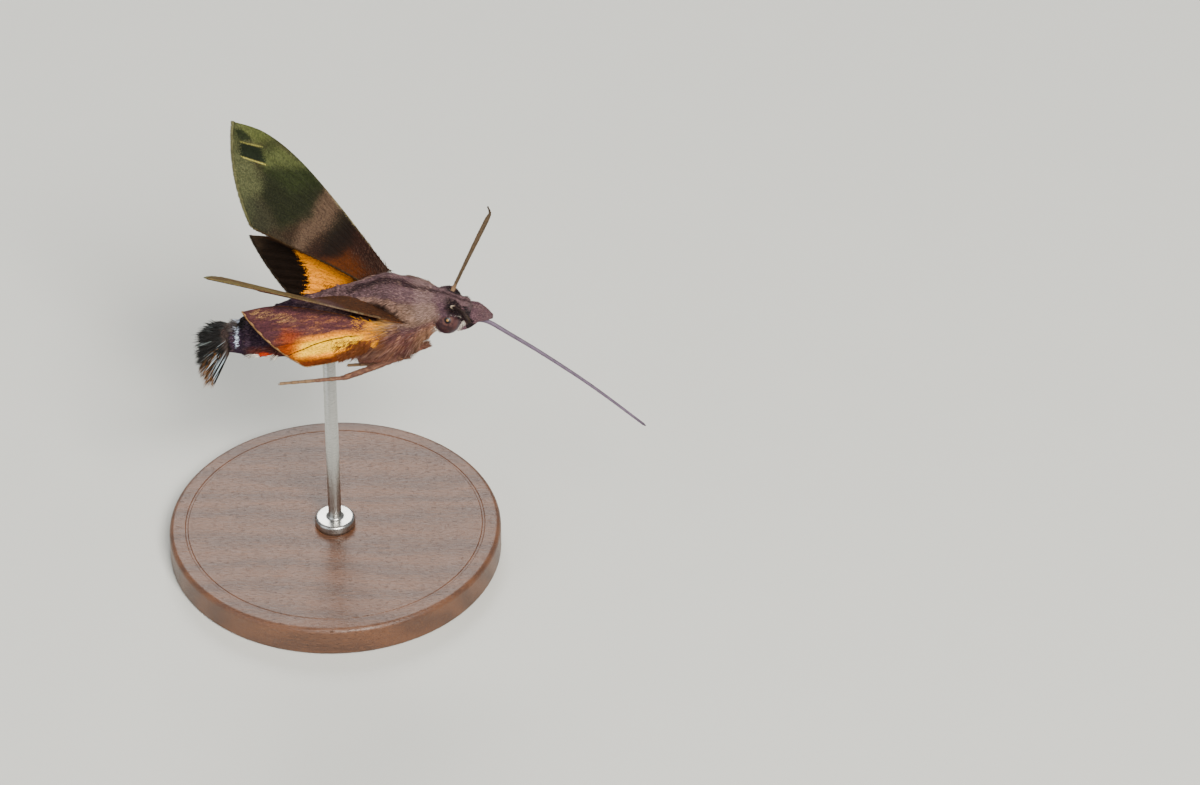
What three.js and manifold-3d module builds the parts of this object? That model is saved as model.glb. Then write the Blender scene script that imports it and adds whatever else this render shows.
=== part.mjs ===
// A hovering hummingbird hawk moth, as a still, life-size model on a plain display stand.
// Millimetres. +Z is up, the head points to +X and the moth's left side faces +Y.
// The origin is the centre of the stand's underside.
import * as THREE from 'three';
import { mergeVertices } from 'three/addons/utils/BufferGeometryUtils.js';
import Module from 'manifold-3d';

const wasm = await Module();
wasm.setup();

// Driving dimensions.
const THORAX = new THREE.Vector3(7, 0, 34); // centre of the thorax; body sizes below are measured from it
const GAP = 0.3; // air between neighbouring pieces
const MEMBRANE = 0.5; // thickness of a wing between its veins
const FOREWING_LENGTH = 23.9;
const HINDWING_LENGTH = 15.4;
const PROBOSCIS_LENGTH = 26;
const ANTENNA_LENGTH = 11;
const EYE_RADIUS = 1.45;
const BASE_RADIUS = 19;
const BASE_HEIGHT = 3.5;
const ROD_RADIUS = 0.75;

// Sections of the body from the face back to the tail: place along X, height of the middle,
// half width, and the reach above and below the middle.
const BODY_SECTIONS = [
  { x: 9.1, mid: 0.25, half: 0.95, up: 0.75, down: 1.1 },
  { x: 8.6, mid: 0.2, half: 1.6, up: 1.2, down: 1.55 },
  { x: 7.7, mid: 0.15, half: 2.15, up: 1.8, down: 2.0 },
  { x: 6.7, mid: 0.15, half: 2.4, up: 2.4, down: 2.25 },
  { x: 5.6, mid: 0.2, half: 2.7, up: 2.8, down: 2.45 },
  { x: 4.6, mid: 0.2, half: 3.2, up: 3.15, down: 2.95 },
  { x: 2.6, mid: 0.05, half: 4.05, up: 3.9, down: 3.95 },
  { x: 0, mid: 0, half: 4.5, up: 4.75, down: 4.5 },
  { x: -2.6, mid: -0.15, half: 4.4, up: 4.2, down: 4.45 },
  { x: -5.2, mid: -0.7, half: 4.05, up: 3.75, down: 3.95 },
  { x: -8, mid: -1.5, half: 3.95, up: 3.4, down: 3.6 },
  { x: -10.8, mid: -2.3, half: 3.9, up: 3.35, down: 3.15 },
  { x: -13.4, mid: -2.95, half: 3.55, up: 2.8, down: 2.6 },
  { x: -15.8, mid: -3.3, half: 3.1, up: 2.35, down: 2.15 },
  { x: -17.6, mid: -3.65, half: 2.5, up: 1.75, down: 1.6 },
];
const FACE = 9.1; // front of the head, between the palps
const HEAD_BACK = 5.5; // where the neck parts the head from the thorax
const WAIST = -5.2; // where the thorax meets the abdomen
const ABDOMEN_END = -17.4;
const SEGMENTS = 7; // rings of the abdomen
const SEGMENT_STEP = 0.14; // how far each ring overhangs the next

const EYE = { x: 6.45, y: 2.05, z: 0.15 };
const TEGULA = { x: 0.9, around: 60, out: 3.75, length: 2.6, width: 1.9, thickness: 0.85 };

// A wing's outline in its own plane: first number along the wing, second towards the hind edge.
// Each vein runs from its place across the root, along a stem, to its place across the outer margin.
const FOREWING = {
  length: FOREWING_LENGTH,
  front: [[0, 0], [0.33, -0.01], [0.65, 0.004], [0.86, 0.055], [1, 0.15]],
  back: [[0.02, 0.14], [0.3, 0.275], [0.553, 0.402]],
  bulge: 1.15,
  camber: 0.5,
  rows: 9,
  veins: [
    { root: 0.14, stem: 0.17, margin: 0.1, from: 0 },
    { root: 0.24, stem: 0.23, margin: 0.24, from: 0 },
    { root: 0.32, stem: 0.3, margin: 0.37, from: 0.42 },
    { root: 0.46, stem: 0.44, margin: 0.5, from: 0.46 },
    { root: 0.58, stem: 0.56, margin: 0.62, from: 0.42 },
    { root: 0.66, stem: 0.63, margin: 0.74, from: 0 },
    { root: 0.74, stem: 0.7, margin: 0.86, from: 0 },
    { root: 0.86, stem: 0.87, margin: 0.96, from: 0 },
  ],
};
const HINDWING = {
  length: HINDWING_LENGTH,
  front: [[0, 0], [0.35, -0.05], [0.75, -0.045], [1, 0.05]],
  back: [[0.02, 0.19], [0.22, 0.36], [0.43, 0.45]],
  bulge: 0.6,
  camber: 0.35,
  rows: 7,
  veins: [
    { root: 0.2, stem: 0.24, margin: 0.22, from: 0 },
    { root: 0.34, stem: 0.36, margin: 0.4, from: 0.4 },
    { root: 0.5, stem: 0.5, margin: 0.55, from: 0.4 },
    { root: 0.64, stem: 0.62, margin: 0.7, from: 0 },
    { root: 0.82, stem: 0.82, margin: 0.86, from: 0 },
  ],
};
const VEIN_HALF_WIDTH = 0.012; // share of the chord
const VEIN_HEIGHT = 0.17; // how far the strongest vein stands out of each face
const EDGE_THICKNESS = 0.3;

// How each wing is held: hinge from the thorax centre, direction of its length, direction of its hind edge,
// and how far its root is twisted up, so that the hind edge clears the back.
const WINGS = [
  { name: 'forewing_left', shape: FOREWING, hinge: [-0.3, 4.5, 2.4], along: [-0.613, 0.361, 0.703],
    aft: [-0.69, -0.677, -0.254], twist: 8 },
  { name: 'forewing_right', shape: FOREWING, hinge: [1.65, -4.1, 1.4], along: [-0.809, -0.327, 0.488],
    aft: [-0.546, 0.726, -0.419], twist: 20 },
  { name: 'hindwing_left', shape: HINDWING, hinge: [-1.7, 4.3, 0.5], along: [-0.882, 0.02, 0.47],
    aft: [-0.45, 0.1, -0.89], twist: 0 },
  { name: 'hindwing_right', shape: HINDWING, hinge: [-1.0, -4.25, 1.3], along: [-0.965, -0.1, 0.245],
    aft: [-0.23, -0.06, -0.97], twist: 0 },
];
const TWIST_FROM = 3; // the twist is full up to here along the wing
const TWIST_TO = 10; // and gone from here

// How each feeler leaves the head: root from the thorax centre, its direction, and which way it bows.
const ANTENNAE = [
  { name: 'antenna_left', root: [6.85, 1.35, 1.6], along: [0.385, 0.835, 0.393], rise: [0.05, -0.1, 0.3] },
  { name: 'antenna_right', root: [6.85, -1.35, 1.6], along: [0.21, -0.865, 0.455], rise: [0.35, 0.1, 0.35] },
];

// Joints of the right legs, from the thorax centre: root, knee, heel and toe.
const LEGS = [
  { name: 'foreleg', joints: [[2.8, -1.0, -2.6], [2.6, -1.3, -4.3], [4.1, -1.3, -3.7], [1.9, -1.2, -5.0], [-0.8, -0.8, -5.8]],
    femur: 0.36 },
  { name: 'midleg', joints: [[0.6, -1.6, -3.6], [0.1, -1.9, -5.0], [1.9, -2.5, -4.3], [-1.2, -1.7, -6.0], [-4.8, -1.2, -6.7]],
    femur: 0.4 },
  { name: 'hindleg', joints: [[-3.4, -1.6, -3.6], [-3.2, -2.2, -5.2], [1.0, -3.5, -3.9], [-5.2, -3.6, -6.6], [-12.3, -4.3, -6.9]],
    femur: 0.42 },
];
const TARSUS_SEGMENTS = 5;

// The tail fan: an arched web of scales that carries flat locks in tiers, from the top down.
const FAN = {
  spread: 60, // degrees to each side of straight back
  droop: 18, // degrees below the horizon in the middle
  arch: 8, // degrees more at the sides
  length: 4.3, // in the middle
  flare: 0.23, // how much longer the sides are, as a share
  web: 2.9, // how far the web reaches between the locks
  rootThickness: 1.7,
  rimThickness: 0.6,
};
const FAN_TIERS = [
  { count: 8, tilt: 8, lift: 0.3, length: 0.9 },
  { count: 9, tilt: 0, lift: 0, length: 1 },
  { count: 8, tilt: -8, lift: -0.35, length: 0.93 },
];
const LOCK = { width: 1.75, thickness: 0.62 };
const SIDE_TUFTS = [-10.4, -12.6, -14.8]; // where the side tufts of the abdomen sit along X

const COLOURS = {
  fur: new THREE.MeshStandardMaterial({ color: '#7c6a5e', roughness: 0.9, metalness: 0 }),
  abdomen: new THREE.MeshStandardMaterial({ color: '#3a2b30', roughness: 0.85, metalness: 0 }),
  tail: new THREE.MeshStandardMaterial({ color: '#1c1715', roughness: 0.8, metalness: 0 }),
  eye: new THREE.MeshStandardMaterial({ color: '#3a2017', roughness: 0.25, metalness: 0 }),
  forewing: new THREE.MeshStandardMaterial({ color: '#6e5c4c', roughness: 0.85, metalness: 0 }),
  hindwing: new THREE.MeshStandardMaterial({ color: '#d98312', roughness: 0.8, metalness: 0 }),
  limb: new THREE.MeshStandardMaterial({ color: '#8a6f55', roughness: 0.8, metalness: 0 }),
  proboscis: new THREE.MeshStandardMaterial({ color: '#574a5c', roughness: 0.5, metalness: 0 }),
  wood: new THREE.MeshStandardMaterial({ color: '#3b2a20', roughness: 0.45, metalness: 0 }),
  steel: new THREE.MeshStandardMaterial({ color: '#b4b4b2', roughness: 0.3, metalness: 1 }),
};

const vector = (p) => new THREE.Vector3(...p);
const radians = THREE.MathUtils.degToRad;
const lerp = THREE.MathUtils.lerp;
const smoothstep = THREE.MathUtils.smoothstep;

// A repeatable random number from 0 to 1.
let seed = 7;
function random() {
  seed = (seed * 16807) % 2147483647;
  return seed / 2147483647;
}

// A closed geometry as a solid that can be joined and cut.
function solid(geometry) {
  const bare = new THREE.BufferGeometry();
  bare.setAttribute('position', geometry.getAttribute('position'));
  bare.setIndex(geometry.getIndex());
  const merged = mergeVertices(bare, 1e-4);
  const index = merged.getIndex().array;
  const triangles = [];
  for (let i = 0; i < index.length; i += 3) {
    const [a, b, c] = [index[i], index[i + 1], index[i + 2]];
    if (a !== b && b !== c && a !== c) triangles.push(a, b, c);
  }
  return new wasm.Manifold(new wasm.Mesh({
    numProp: 3,
    vertProperties: new Float32Array(merged.getAttribute('position').array),
    triVerts: new Uint32Array(triangles),
  }));
}

// The largest closed body of a solid, as a named mesh.
function piece(name, shape, material) {
  const bodies = shape.decompose().sort((a, b) => b.volume() - a.volume());
  const mesh = bodies[0].getMesh();
  const geometry = new THREE.BufferGeometry();
  geometry.setAttribute('position', new THREE.BufferAttribute(new Float32Array(mesh.vertProperties), 3));
  geometry.setIndex(new THREE.BufferAttribute(new Uint32Array(mesh.triVerts), 1));
  geometry.computeVertexNormals();
  const made = new THREE.Mesh(geometry, material);
  made.name = name;
  return made;
}

// A closed skin through rings of points, each end drawn together at its ring's centre.
function loft(rings) {
  const sides = rings[0].length;
  const positions = rings.flat().flatMap((p) => [p.x, p.y, p.z]);
  const index = [];
  for (let i = 0; i < rings.length - 1; i++)
    for (let j = 0; j < sides; j++) {
      const next = (j + 1) % sides;
      const [a, b] = [i * sides + j, i * sides + next];
      const [c, d] = [(i + 1) * sides + next, (i + 1) * sides + j];
      index.push(a, b, c, a, c, d);
    }
  for (const [ring, first, turned] of [[rings[0], 0, true], [rings.at(-1), (rings.length - 1) * sides, false]]) {
    const centre = ring.reduce((sum, p) => sum.add(p), new THREE.Vector3()).divideScalar(sides);
    const at = positions.length / 3;
    positions.push(centre.x, centre.y, centre.z);
    for (let j = 0; j < sides; j++) {
      const [a, b] = [first + j, first + (j + 1) % sides];
      index.push(...(turned ? [at, b, a] : [at, a, b]));
    }
  }
  const geometry = new THREE.BufferGeometry();
  geometry.setAttribute('position', new THREE.Float32BufferAttribute(positions, 3));
  geometry.setIndex(index);
  const made = solid(geometry);
  return made.volume() < 0 ? solid(turnedOver(geometry)) : made;
}

function turnedOver(geometry) {
  const index = geometry.getIndex().array;
  for (let i = 0; i < index.length; i += 3) [index[i + 1], index[i + 2]] = [index[i + 2], index[i + 1]];
  return geometry;
}

function ellipsoid(centre, radii, rotation = new THREE.Quaternion(), around = 20, down = 12) {
  const geometry = new THREE.SphereGeometry(1, around, down);
  geometry.applyMatrix4(new THREE.Matrix4().compose(centre, rotation, radii));
  return solid(geometry);
}

const mirrored = (shape) => shape.mirror([0, 1, 0]);
const union = (shapes) => shapes.reduce((all, next) => all.add(next));

// The body's section at any place along X, on smooth curves through the named sections.
const sectionCurves = Object.fromEntries(['mid', 'half', 'up', 'down'].map((key) => {
  const curve = new THREE.SplineCurve(BODY_SECTIONS.map((s) => new THREE.Vector2(s.x, s[key])));
  return [key, curve];
}));
function sectionAt(x) {
  const last = BODY_SECTIONS.length - 1;
  let i = 0;
  while (i < last - 1 && BODY_SECTIONS[i + 1].x > x) i++;
  const [a, b] = [BODY_SECTIONS[i].x, BODY_SECTIONS[i + 1].x];
  const share = THREE.MathUtils.clamp((x - a) / (b - a), 0, 1);
  const at = (i + share) / last;
  return Object.fromEntries(Object.entries(sectionCurves).map(([key, curve]) => [key, curve.getPoint(at).y]));
}

// A point on the body: angle 0 is straight up and 90 is the moth's right side.
function bodyPoint(x, degrees, grow = 0) {
  const s = sectionAt(x);
  const [across, rise] = [Math.sin(radians(degrees)), Math.cos(radians(degrees))];
  const reach = (rise > 0 ? s.up : s.down) + grow;
  return new THREE.Vector3(x, -across * (s.half + grow), s.mid + rise * reach).add(THORAX);
}

function bodyRing(x, sides, grow) {
  return Array.from({ length: sides }, (_, j) => bodyPoint(x, (360 * j) / sides, grow));
}

// A length of the body between two places along X; places may repeat with another growth to make a step.
function bodyLength(places, sides = 24) {
  return loft(places.map(({ x, grow }) => bodyRing(x, sides, grow)));
}
function evenPlaces(from, to, steps, grow = 0) {
  return Array.from({ length: steps + 1 }, (_, i) => ({ x: lerp(from, to, i / steps), grow }));
}

function tegula(grow) {
  const angle = radians(TEGULA.around);
  const centre = new THREE.Vector3(TEGULA.x, -TEGULA.out * Math.sin(angle), TEGULA.out * Math.cos(angle)).add(THORAX);
  const turn = new THREE.Quaternion().setFromAxisAngle(new THREE.Vector3(1, 0, 0), angle - Math.PI / 2);
  const radii = new THREE.Vector3(TEGULA.length, TEGULA.thickness, TEGULA.width).addScalar(grow);
  return ellipsoid(centre, radii, turn, 18, 12);
}

function eye(grow, side) {
  const centre = new THREE.Vector3(EYE.x, side * EYE.y, EYE.z).add(THORAX);
  const radii = new THREE.Vector3(1.0, 0.92, 1.0).multiplyScalar(EYE_RADIUS).addScalar(grow);
  return ellipsoid(centre, radii, new THREE.Quaternion().setFromAxisAngle(new THREE.Vector3(0, 0, 1), side * 0.25), 18, 12);
}

// The whole body, larger by `grow`, which cuts what grows out of it so that both meet face to face.
function bodyForm(grow) {
  const trunk = bodyLength(evenPlaces(FACE + grow, ABDOMEN_END - grow, 40, grow), 24);
  return union([trunk, tegula(grow), mirrored(tegula(grow)), eye(grow, 1), eye(grow, -1)]);
}
const clearance = bodyForm(GAP);

function headSolid() {
  let head = bodyLength(evenPlaces(FACE, HEAD_BACK, 9), 20);
  for (const side of [1, -1]) head = head.subtract(eye(GAP, side));
  return head;
}

function thoraxSolid() {
  const trunk = bodyLength(evenPlaces(HEAD_BACK - GAP, WAIST + GAP, 12), 24);
  const whole = union([trunk, tegula(0), mirrored(tegula(0))]);
  return whole.subtract(eye(GAP, 1)).subtract(eye(GAP, -1));
}

// A flat, tapered lock of scales from root to tip, bending a little downwards.
function lock(root, direction, up, { length, width, thickness, sag = 0.1, steps = 4 }) {
  const across = new THREE.Vector3().crossVectors(direction, up).normalize();
  const top = new THREE.Vector3().crossVectors(across, direction).normalize();
  const rings = Array.from({ length: steps + 1 }, (_, i) => {
    const t = i / steps;
    const centre = root.clone().addScaledVector(direction, length * t).addScaledVector(top, -sag * length * t * t);
    const w = (width / 2) * (0.55 + 1.5 * t - 1.85 * t * t);
    const h = (thickness / 2) * lerp(1, 0.5, t);
    return [[1, 0], [0, 1], [-1, 0], [0, -1]].map(([p, q]) =>
      centre.clone().addScaledVector(across, p * w).addScaledVector(top, q * h));
  });
  return loft(rings);
}

// The abdomen: rings that overhang one another, with small side tufts on the hinder ones.
function abdomenSolid() {
  const from = WAIST - GAP / 2;
  const places = [];
  for (let i = 0; i < SEGMENTS; i++) {
    const start = lerp(from, ABDOMEN_END, i / SEGMENTS);
    const end = lerp(from, ABDOMEN_END, (i + 1) / SEGMENTS);
    places.push({ x: start, grow: i ? -SEGMENT_STEP : 0 }, { x: lerp(start, end, 0.5), grow: 0 });
    places.push({ x: lerp(start, end, 0.93), grow: 0 });
  }
  places.push({ x: ABDOMEN_END, grow: -SEGMENT_STEP });
  const tufts = [];
  for (const x of SIDE_TUFTS)
    for (const angle of [92, 108])
      for (const side of [1, -1]) {
        const root = bodyPoint(x, angle, -0.8);
        const out = bodyPoint(x, angle, 0.2).sub(root).normalize();
        root.y *= side;
        out.y *= side;
        const direction = out.clone().multiplyScalar(0.55).add(vector([-0.83, 0, -0.1])).normalize();
        tufts.push(lock(root, direction, out, { length: 2.4, width: 1.1, thickness: 0.55, sag: 0, steps: 3 }));
      }
  return union([bodyLength(places, 24), ...tufts]);
}

// Where the fan's scales run, from one side (-1) to the other (1).
function fanDirection(share, tilt = 0) {
  const turn = radians(share * FAN.spread);
  const pitch = radians(tilt - FAN.droop - FAN.arch * share * share);
  return new THREE.Vector3(-Math.cos(turn) * Math.cos(pitch), Math.sin(turn) * Math.cos(pitch), Math.sin(pitch));
}

function tailSolid() {
  const end = ABDOMEN_END - GAP;
  const s = sectionAt(ABDOMEN_END);
  const root = new THREE.Vector3(end, 0, s.mid + 0.1).add(THORAX);
  const core = loft([0, 0.3, 1.0, 1.5].map((back, i) => bodyRing(ABDOMEN_END, 16, 0).map((p) => {
    const shrink = [0.97, 0.93, 0.7, 0.45][i];
    return p.sub(root).multiplyScalar(shrink).add(root).setX(root.x - back);
  })));
  const faces = [1, -1].map((face) => Array.from({ length: 4 }, (_, i) => Array.from({ length: 11 }, (_, j) => {
    const [out, share] = [i / 3, (2 * j) / 10 - 1];
    const thickness = lerp(FAN.rootThickness, FAN.rimThickness, Math.sqrt(out)) * (Math.abs(share) === 1 ? 0.5 : 1);
    return root.clone().add(vector([0.2, 1.5 * share, -0.35 * share * share]))
      .addScaledVector(fanDirection(share), FAN.web * out).add(vector([0, 0, (face * thickness) / 2]));
  })));
  const locks = FAN_TIERS.flatMap((tier, n) => Array.from({ length: tier.count }, (_, i) => {
    const share = (2 * i) / (tier.count - 1) - 1 + 0.05 * (random() - 0.5);
    const direction = fanDirection(share, tier.tilt * (1 - 0.5 * Math.abs(share)) + 3 * (random() - 0.5));
    const from = root.clone().add(vector([0.25, 1.45 * share, tier.lift - 0.35 * share * share]));
    const length = FAN.length * tier.length * (1 + FAN.flare * share * share) * (0.95 + 0.1 * random());
    return lock(from, direction, vector([0.15 * (n - 1), 0, 1]), { length, ...LOCK, sag: 0.04 });
  }));
  const behind = bodyForm(0).add(bodyLength(evenPlaces(ABDOMEN_END + 2, end, 2, GAP), 16));
  return union([core, plate(...faces), ...locks]).subtract(behind);
}

// A round-sectioned limb along a curve, with its radius given at each share of its length.
function limb(curve, radiusAt, sides, steps, flatten = 1) {
  const reference = curve.getTangentAt(0.5).cross(vector([0, 0, 1])).normalize();
  const rings = Array.from({ length: steps + 1 }, (_, i) => {
    const t = i / steps;
    const centre = curve.getPointAt(t);
    const tangent = curve.getTangentAt(t);
    const second = new THREE.Vector3().crossVectors(reference, tangent).normalize();
    const first = new THREE.Vector3().crossVectors(tangent, second).normalize();
    const radius = radiusAt(t);
    return Array.from({ length: sides }, (_, j) => {
      const angle = (2 * Math.PI * j) / sides;
      return centre.clone().addScaledVector(first, radius * flatten * Math.cos(angle))
        .addScaledVector(second, radius * Math.sin(angle));
    });
  });
  return loft(rings);
}

// A palp: a flattened, blunt, upturned pad before the face, hollowed beneath for the proboscis.
const PALP = [
  { at: [7.2, -0.9, -1.5], radius: 0.8 },
  { at: [8.3, -0.9, -0.85], radius: 1.0 },
  { at: [9.4, -0.8, -0.12], radius: 0.96 },
  { at: [10.4, -0.6, -0.36], radius: 0.62 },
  { at: [11.25, -0.36, -0.66], radius: 0.25 },
];
function palpSolid() {
  const centre = new THREE.CatmullRomCurve3(PALP.map(({ at }) => vector(at).add(THORAX)));
  const radii = new THREE.SplineCurve(PALP.map(({ radius }, i) => new THREE.Vector2(i, radius)));
  const radius = (t) => radii.getPoint(t).y;
  return limb(centre, radius, 12, 9, 0.66).subtract(clearance).subtract(proboscisForm(GAP));
}

function proboscisForm(grow) {
  const slope = radians(35);
  const mouth = vector([8.0, 0, -1.25]).add(THORAX);
  const straight = PROBOSCIS_LENGTH - 3;
  const points = [mouth, vector([9.4, 0, -1.2]).add(THORAX), vector([10.9, 0, -1.5]).add(THORAX)];
  for (const share of [0.12, 0.35, 0.65, 1]) {
    const bend = slope + radians(5) * share;
    points.push(points[2].clone().add(vector([Math.cos(bend), 0, -Math.sin(bend)]).multiplyScalar(straight * share)));
  }
  const curve = new THREE.CatmullRomCurve3(points);
  return limb(curve, (t) => grow + lerp(0.28, 0.25, t) * (t > 0.99 ? 0.5 : 1), 8, 20);
}

// The flagellum thickens towards its hooked tip.
function antennaSolid({ root, along, rise }) {
  const base = vector(root).add(THORAX);
  const direction = vector(along).normalize();
  const lift = vector(rise);
  const points = [0, 0.25, 0.5, 0.75, 0.92].map((t) =>
    base.clone().addScaledVector(direction, ANTENNA_LENGTH * t).addScaledVector(lift, 3.6 * t * (0.92 - t)));
  const end = points.at(-1);
  points.push(end.clone().addScaledVector(direction, 0.55).add(vector([0.05, 0, 0.2])));
  points.push(end.clone().addScaledVector(direction, 0.7).add(vector([-0.25, 0, 0.95])));
  const curve = new THREE.CatmullRomCurve3(points);
  const radius = (t) => lerp(0.25, 0.33, smoothstep(t, 0.1, 0.7)) * lerp(1, 0.35, smoothstep(t, 0.86, 0.99));
  return limb(curve, radius, 8, 22).subtract(clearance);
}

// A straight stretch of leg, its radius given at each place along it.
function legStretch(from, to, profile) {
  const axis = to.clone().sub(from);
  const turn = new THREE.Quaternion().setFromUnitVectors(vector([0, 0, 1]), axis.clone().normalize());
  return loft(profile(axis.length()).map(([z, radius]) => Array.from({ length: 6 }, (_, j) => {
    const angle = (2 * Math.PI * j) / 6;
    return vector([radius * Math.cos(angle), radius * Math.sin(angle), z]).applyQuaternion(turn).add(from);
  })));
}
const roundEnded = (start, full, end) => (length) =>
  [[-0.6 * start, 0.55 * start], [0, start], [0.45 * length, full], [length, end], [length + 0.6 * end, 0.55 * end]];
const jointed = (first, last) => (length) => {
  const profile = [[-0.6 * first, 0.55 * first], [0, first]];
  for (let i = 1; i <= TARSUS_SEGMENTS; i++) {
    const radius = lerp(first, last, i / TARSUS_SEGMENTS);
    profile.push([((i - 0.3) / TARSUS_SEGMENTS) * length, 1.12 * radius], [(i / TARSUS_SEGMENTS) * length, 0.92 * radius]);
  }
  profile.push([length + 0.6 * last, 0.5 * last]);
  return profile;
};

// A leg: coxa, thick femur, slimmer tibia and a tarsus of short segments down to the claw.
function legSolid({ joints, femur }) {
  const [hip, trochanter, knee, heel, toe] = joints.map((p) => vector(p).add(THORAX));
  return union([
    legStretch(hip, trochanter, roundEnded(femur, femur, 0.85 * femur)),
    legStretch(trochanter, knee, roundEnded(0.8 * femur, 1.1 * femur, 0.75 * femur)),
    legStretch(knee, heel, roundEnded(0.72 * femur, 0.85 * femur, 0.74 * femur)),
    legStretch(heel, toe, jointed(0.28, 0.25)),
  ]).subtract(clearance);
}

// Where a wing's outline lies in its own plane, at a share of its length and of its chord.
function outlineOf(shape) {
  const scaled = (points) => new THREE.SplineCurve(points.map(([a, b]) => new THREE.Vector2(a, b).multiplyScalar(shape.length)));
  const [front, back] = [scaled(shape.front), scaled(shape.back)];
  const margin = back.getPoint(1).sub(front.getPoint(1)).normalize();
  const outwards = new THREE.Vector2(margin.y, -margin.x).multiplyScalar(shape.bulge);
  return (s, t) => {
    const at = front.getPointAt(s).lerp(back.getPointAt(s), t);
    return at.addScaledVector(outwards, s ** 4 * Math.sin(Math.PI * t) ** 0.8);
  };
}

// Columns across the wing: the front edge, each vein's foot, crest and foot, and the hind edge.
function wingColumns(shape) {
  const columns = [
    { across: () => 0, rise: () => 0, edge: true },
    { across: () => 0.028, rise: () => 0.8 },
    { across: (s) => lerp(0.06, 0.05, s), rise: () => 0 },
  ];
  for (const vein of shape.veins) {
    const middle = (s) => s < 0.5
      ? lerp(vein.root, vein.stem, smoothstep(s, 0, 0.45))
      : lerp(vein.stem, vein.margin, smoothstep(s, 0.35, 1.05));
    const rise = (s) => smoothstep(s, vein.from - 0.05, vein.from + 0.08) * lerp(1, 0.45, s);
    for (const [shift, share] of [[-1, 0], [0, 1], [1, 0]])
      columns.push({ across: (s) => middle(s) + shift * VEIN_HALF_WIDTH, rise: (s) => share * rise(s) });
  }
  columns.push({ across: () => 0.985, rise: () => 0 }, { across: () => 1, rise: () => 0, edge: true });
  return columns;
}

// A wing: one curved plate whose two faces are split alike, with the veins raised in its own surface.
function wingSolid({ shape, hinge, along, aft, twist }) {
  const length = vector(along).normalize();
  const chord = vector(aft).addScaledVector(length, -vector(aft).dot(length)).normalize();
  const lift = new THREE.Vector3().crossVectors(length, chord);
  if (lift.z < 0) lift.negate();
  const origin = vector(hinge).add(THORAX);
  const outline = outlineOf(shape);
  const columns = wingColumns(shape);
  const rows = [];
  for (let i = 0; i <= shape.rows; i++) rows.push(0.97 * (i / shape.rows));
  rows.push(1);
  const faces = [1, -1].map((face) => rows.map((s, i) => columns.map((column) => {
    const t = column.across(s);
    const { x: a, y: b } = outline(s, t);
    const turn = radians(twist) * (1 - smoothstep(a, TWIST_FROM, TWIST_TO));
    const bow = shape.camber * 4 * t * (1 - t) * (0.4 + 0.6 * s);
    const thickness = column.edge || i === rows.length - 1 ? EDGE_THICKNESS : MEMBRANE + 2 * VEIN_HEIGHT * column.rise(s);
    return origin.clone().addScaledVector(length, a).addScaledVector(chord, b * Math.cos(turn))
      .addScaledVector(lift, b * Math.sin(turn) + bow + (face * thickness) / 2);
  })));
  return plate(faces[0], faces[1]);
}

function plate(top, bottom) {
  const [rows, columns] = [top.length, top[0].length];
  const positions = [top, bottom].flat(2).flatMap((p) => [p.x, p.y, p.z]);
  const below = rows * columns;
  const index = [];
  const at = (i, j) => i * columns + j;
  for (let i = 0; i < rows - 1; i++)
    for (let j = 0; j < columns - 1; j++) {
      const [a, b, c, d] = [at(i, j), at(i, j + 1), at(i + 1, j + 1), at(i + 1, j)];
      index.push(a, b, c, a, c, d);
      index.push(below + a, below + c, below + b, below + a, below + d, below + c);
    }
  const wall = (a, b) => index.push(a, below + a, b, b, below + a, below + b);
  for (let j = 0; j < columns - 1; j++) {
    wall(at(0, j), at(0, j + 1));
    wall(at(rows - 1, j + 1), at(rows - 1, j));
  }
  for (let i = 0; i < rows - 1; i++) {
    wall(at(i + 1, 0), at(i, 0));
    wall(at(i, columns - 1), at(i + 1, columns - 1));
  }
  const geometry = new THREE.BufferGeometry();
  geometry.setAttribute('position', new THREE.Float32BufferAttribute(positions, 3));
  geometry.setIndex(index);
  const made = solid(geometry);
  return made.volume() < 0 ? solid(turnedOver(geometry)) : made;
}

// The stand: a round base with a socket, and a rod with a small flange that holds the abdomen.
const SOCKET_DEPTH = 2.2;
function baseSolid() {
  const bevel = 0.6;
  const bore = ROD_RADIUS + GAP;
  const profile = [[0, 0], [BASE_RADIUS - 0.3, 0], [BASE_RADIUS, 0.3], [BASE_RADIUS, BASE_HEIGHT - bevel],
    [BASE_RADIUS - bevel, BASE_HEIGHT], [bore, BASE_HEIGHT], [bore, BASE_HEIGHT - SOCKET_DEPTH], [0, BASE_HEIGHT - SOCKET_DEPTH]];
  return upright(profile, 48);
}
function rodSolid() {
  const foot = BASE_HEIGHT - SOCKET_DEPTH + GAP;
  const flange = { radius: 2.3, low: BASE_HEIGHT + GAP, high: BASE_HEIGHT + GAP + 0.9 };
  const top = THORAX.z;
  const profile = [[0, foot], [ROD_RADIUS, foot], [ROD_RADIUS, flange.low], [flange.radius, flange.low],
    [flange.radius, flange.high - 0.3], [flange.radius - 0.5, flange.high], [ROD_RADIUS, flange.high], [ROD_RADIUS, top], [0, top]];
  return upright(profile, 20).subtract(clearance);
}
function upright(profile, around) {
  const geometry = new THREE.LatheGeometry(profile.map(([r, z]) => new THREE.Vector2(r, z)), around);
  geometry.rotateX(Math.PI / 2);
  const made = solid(geometry);
  return made.volume() < 0 ? solid(turnedOver(mergeVertices(geometry))) : made;
}

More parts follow.
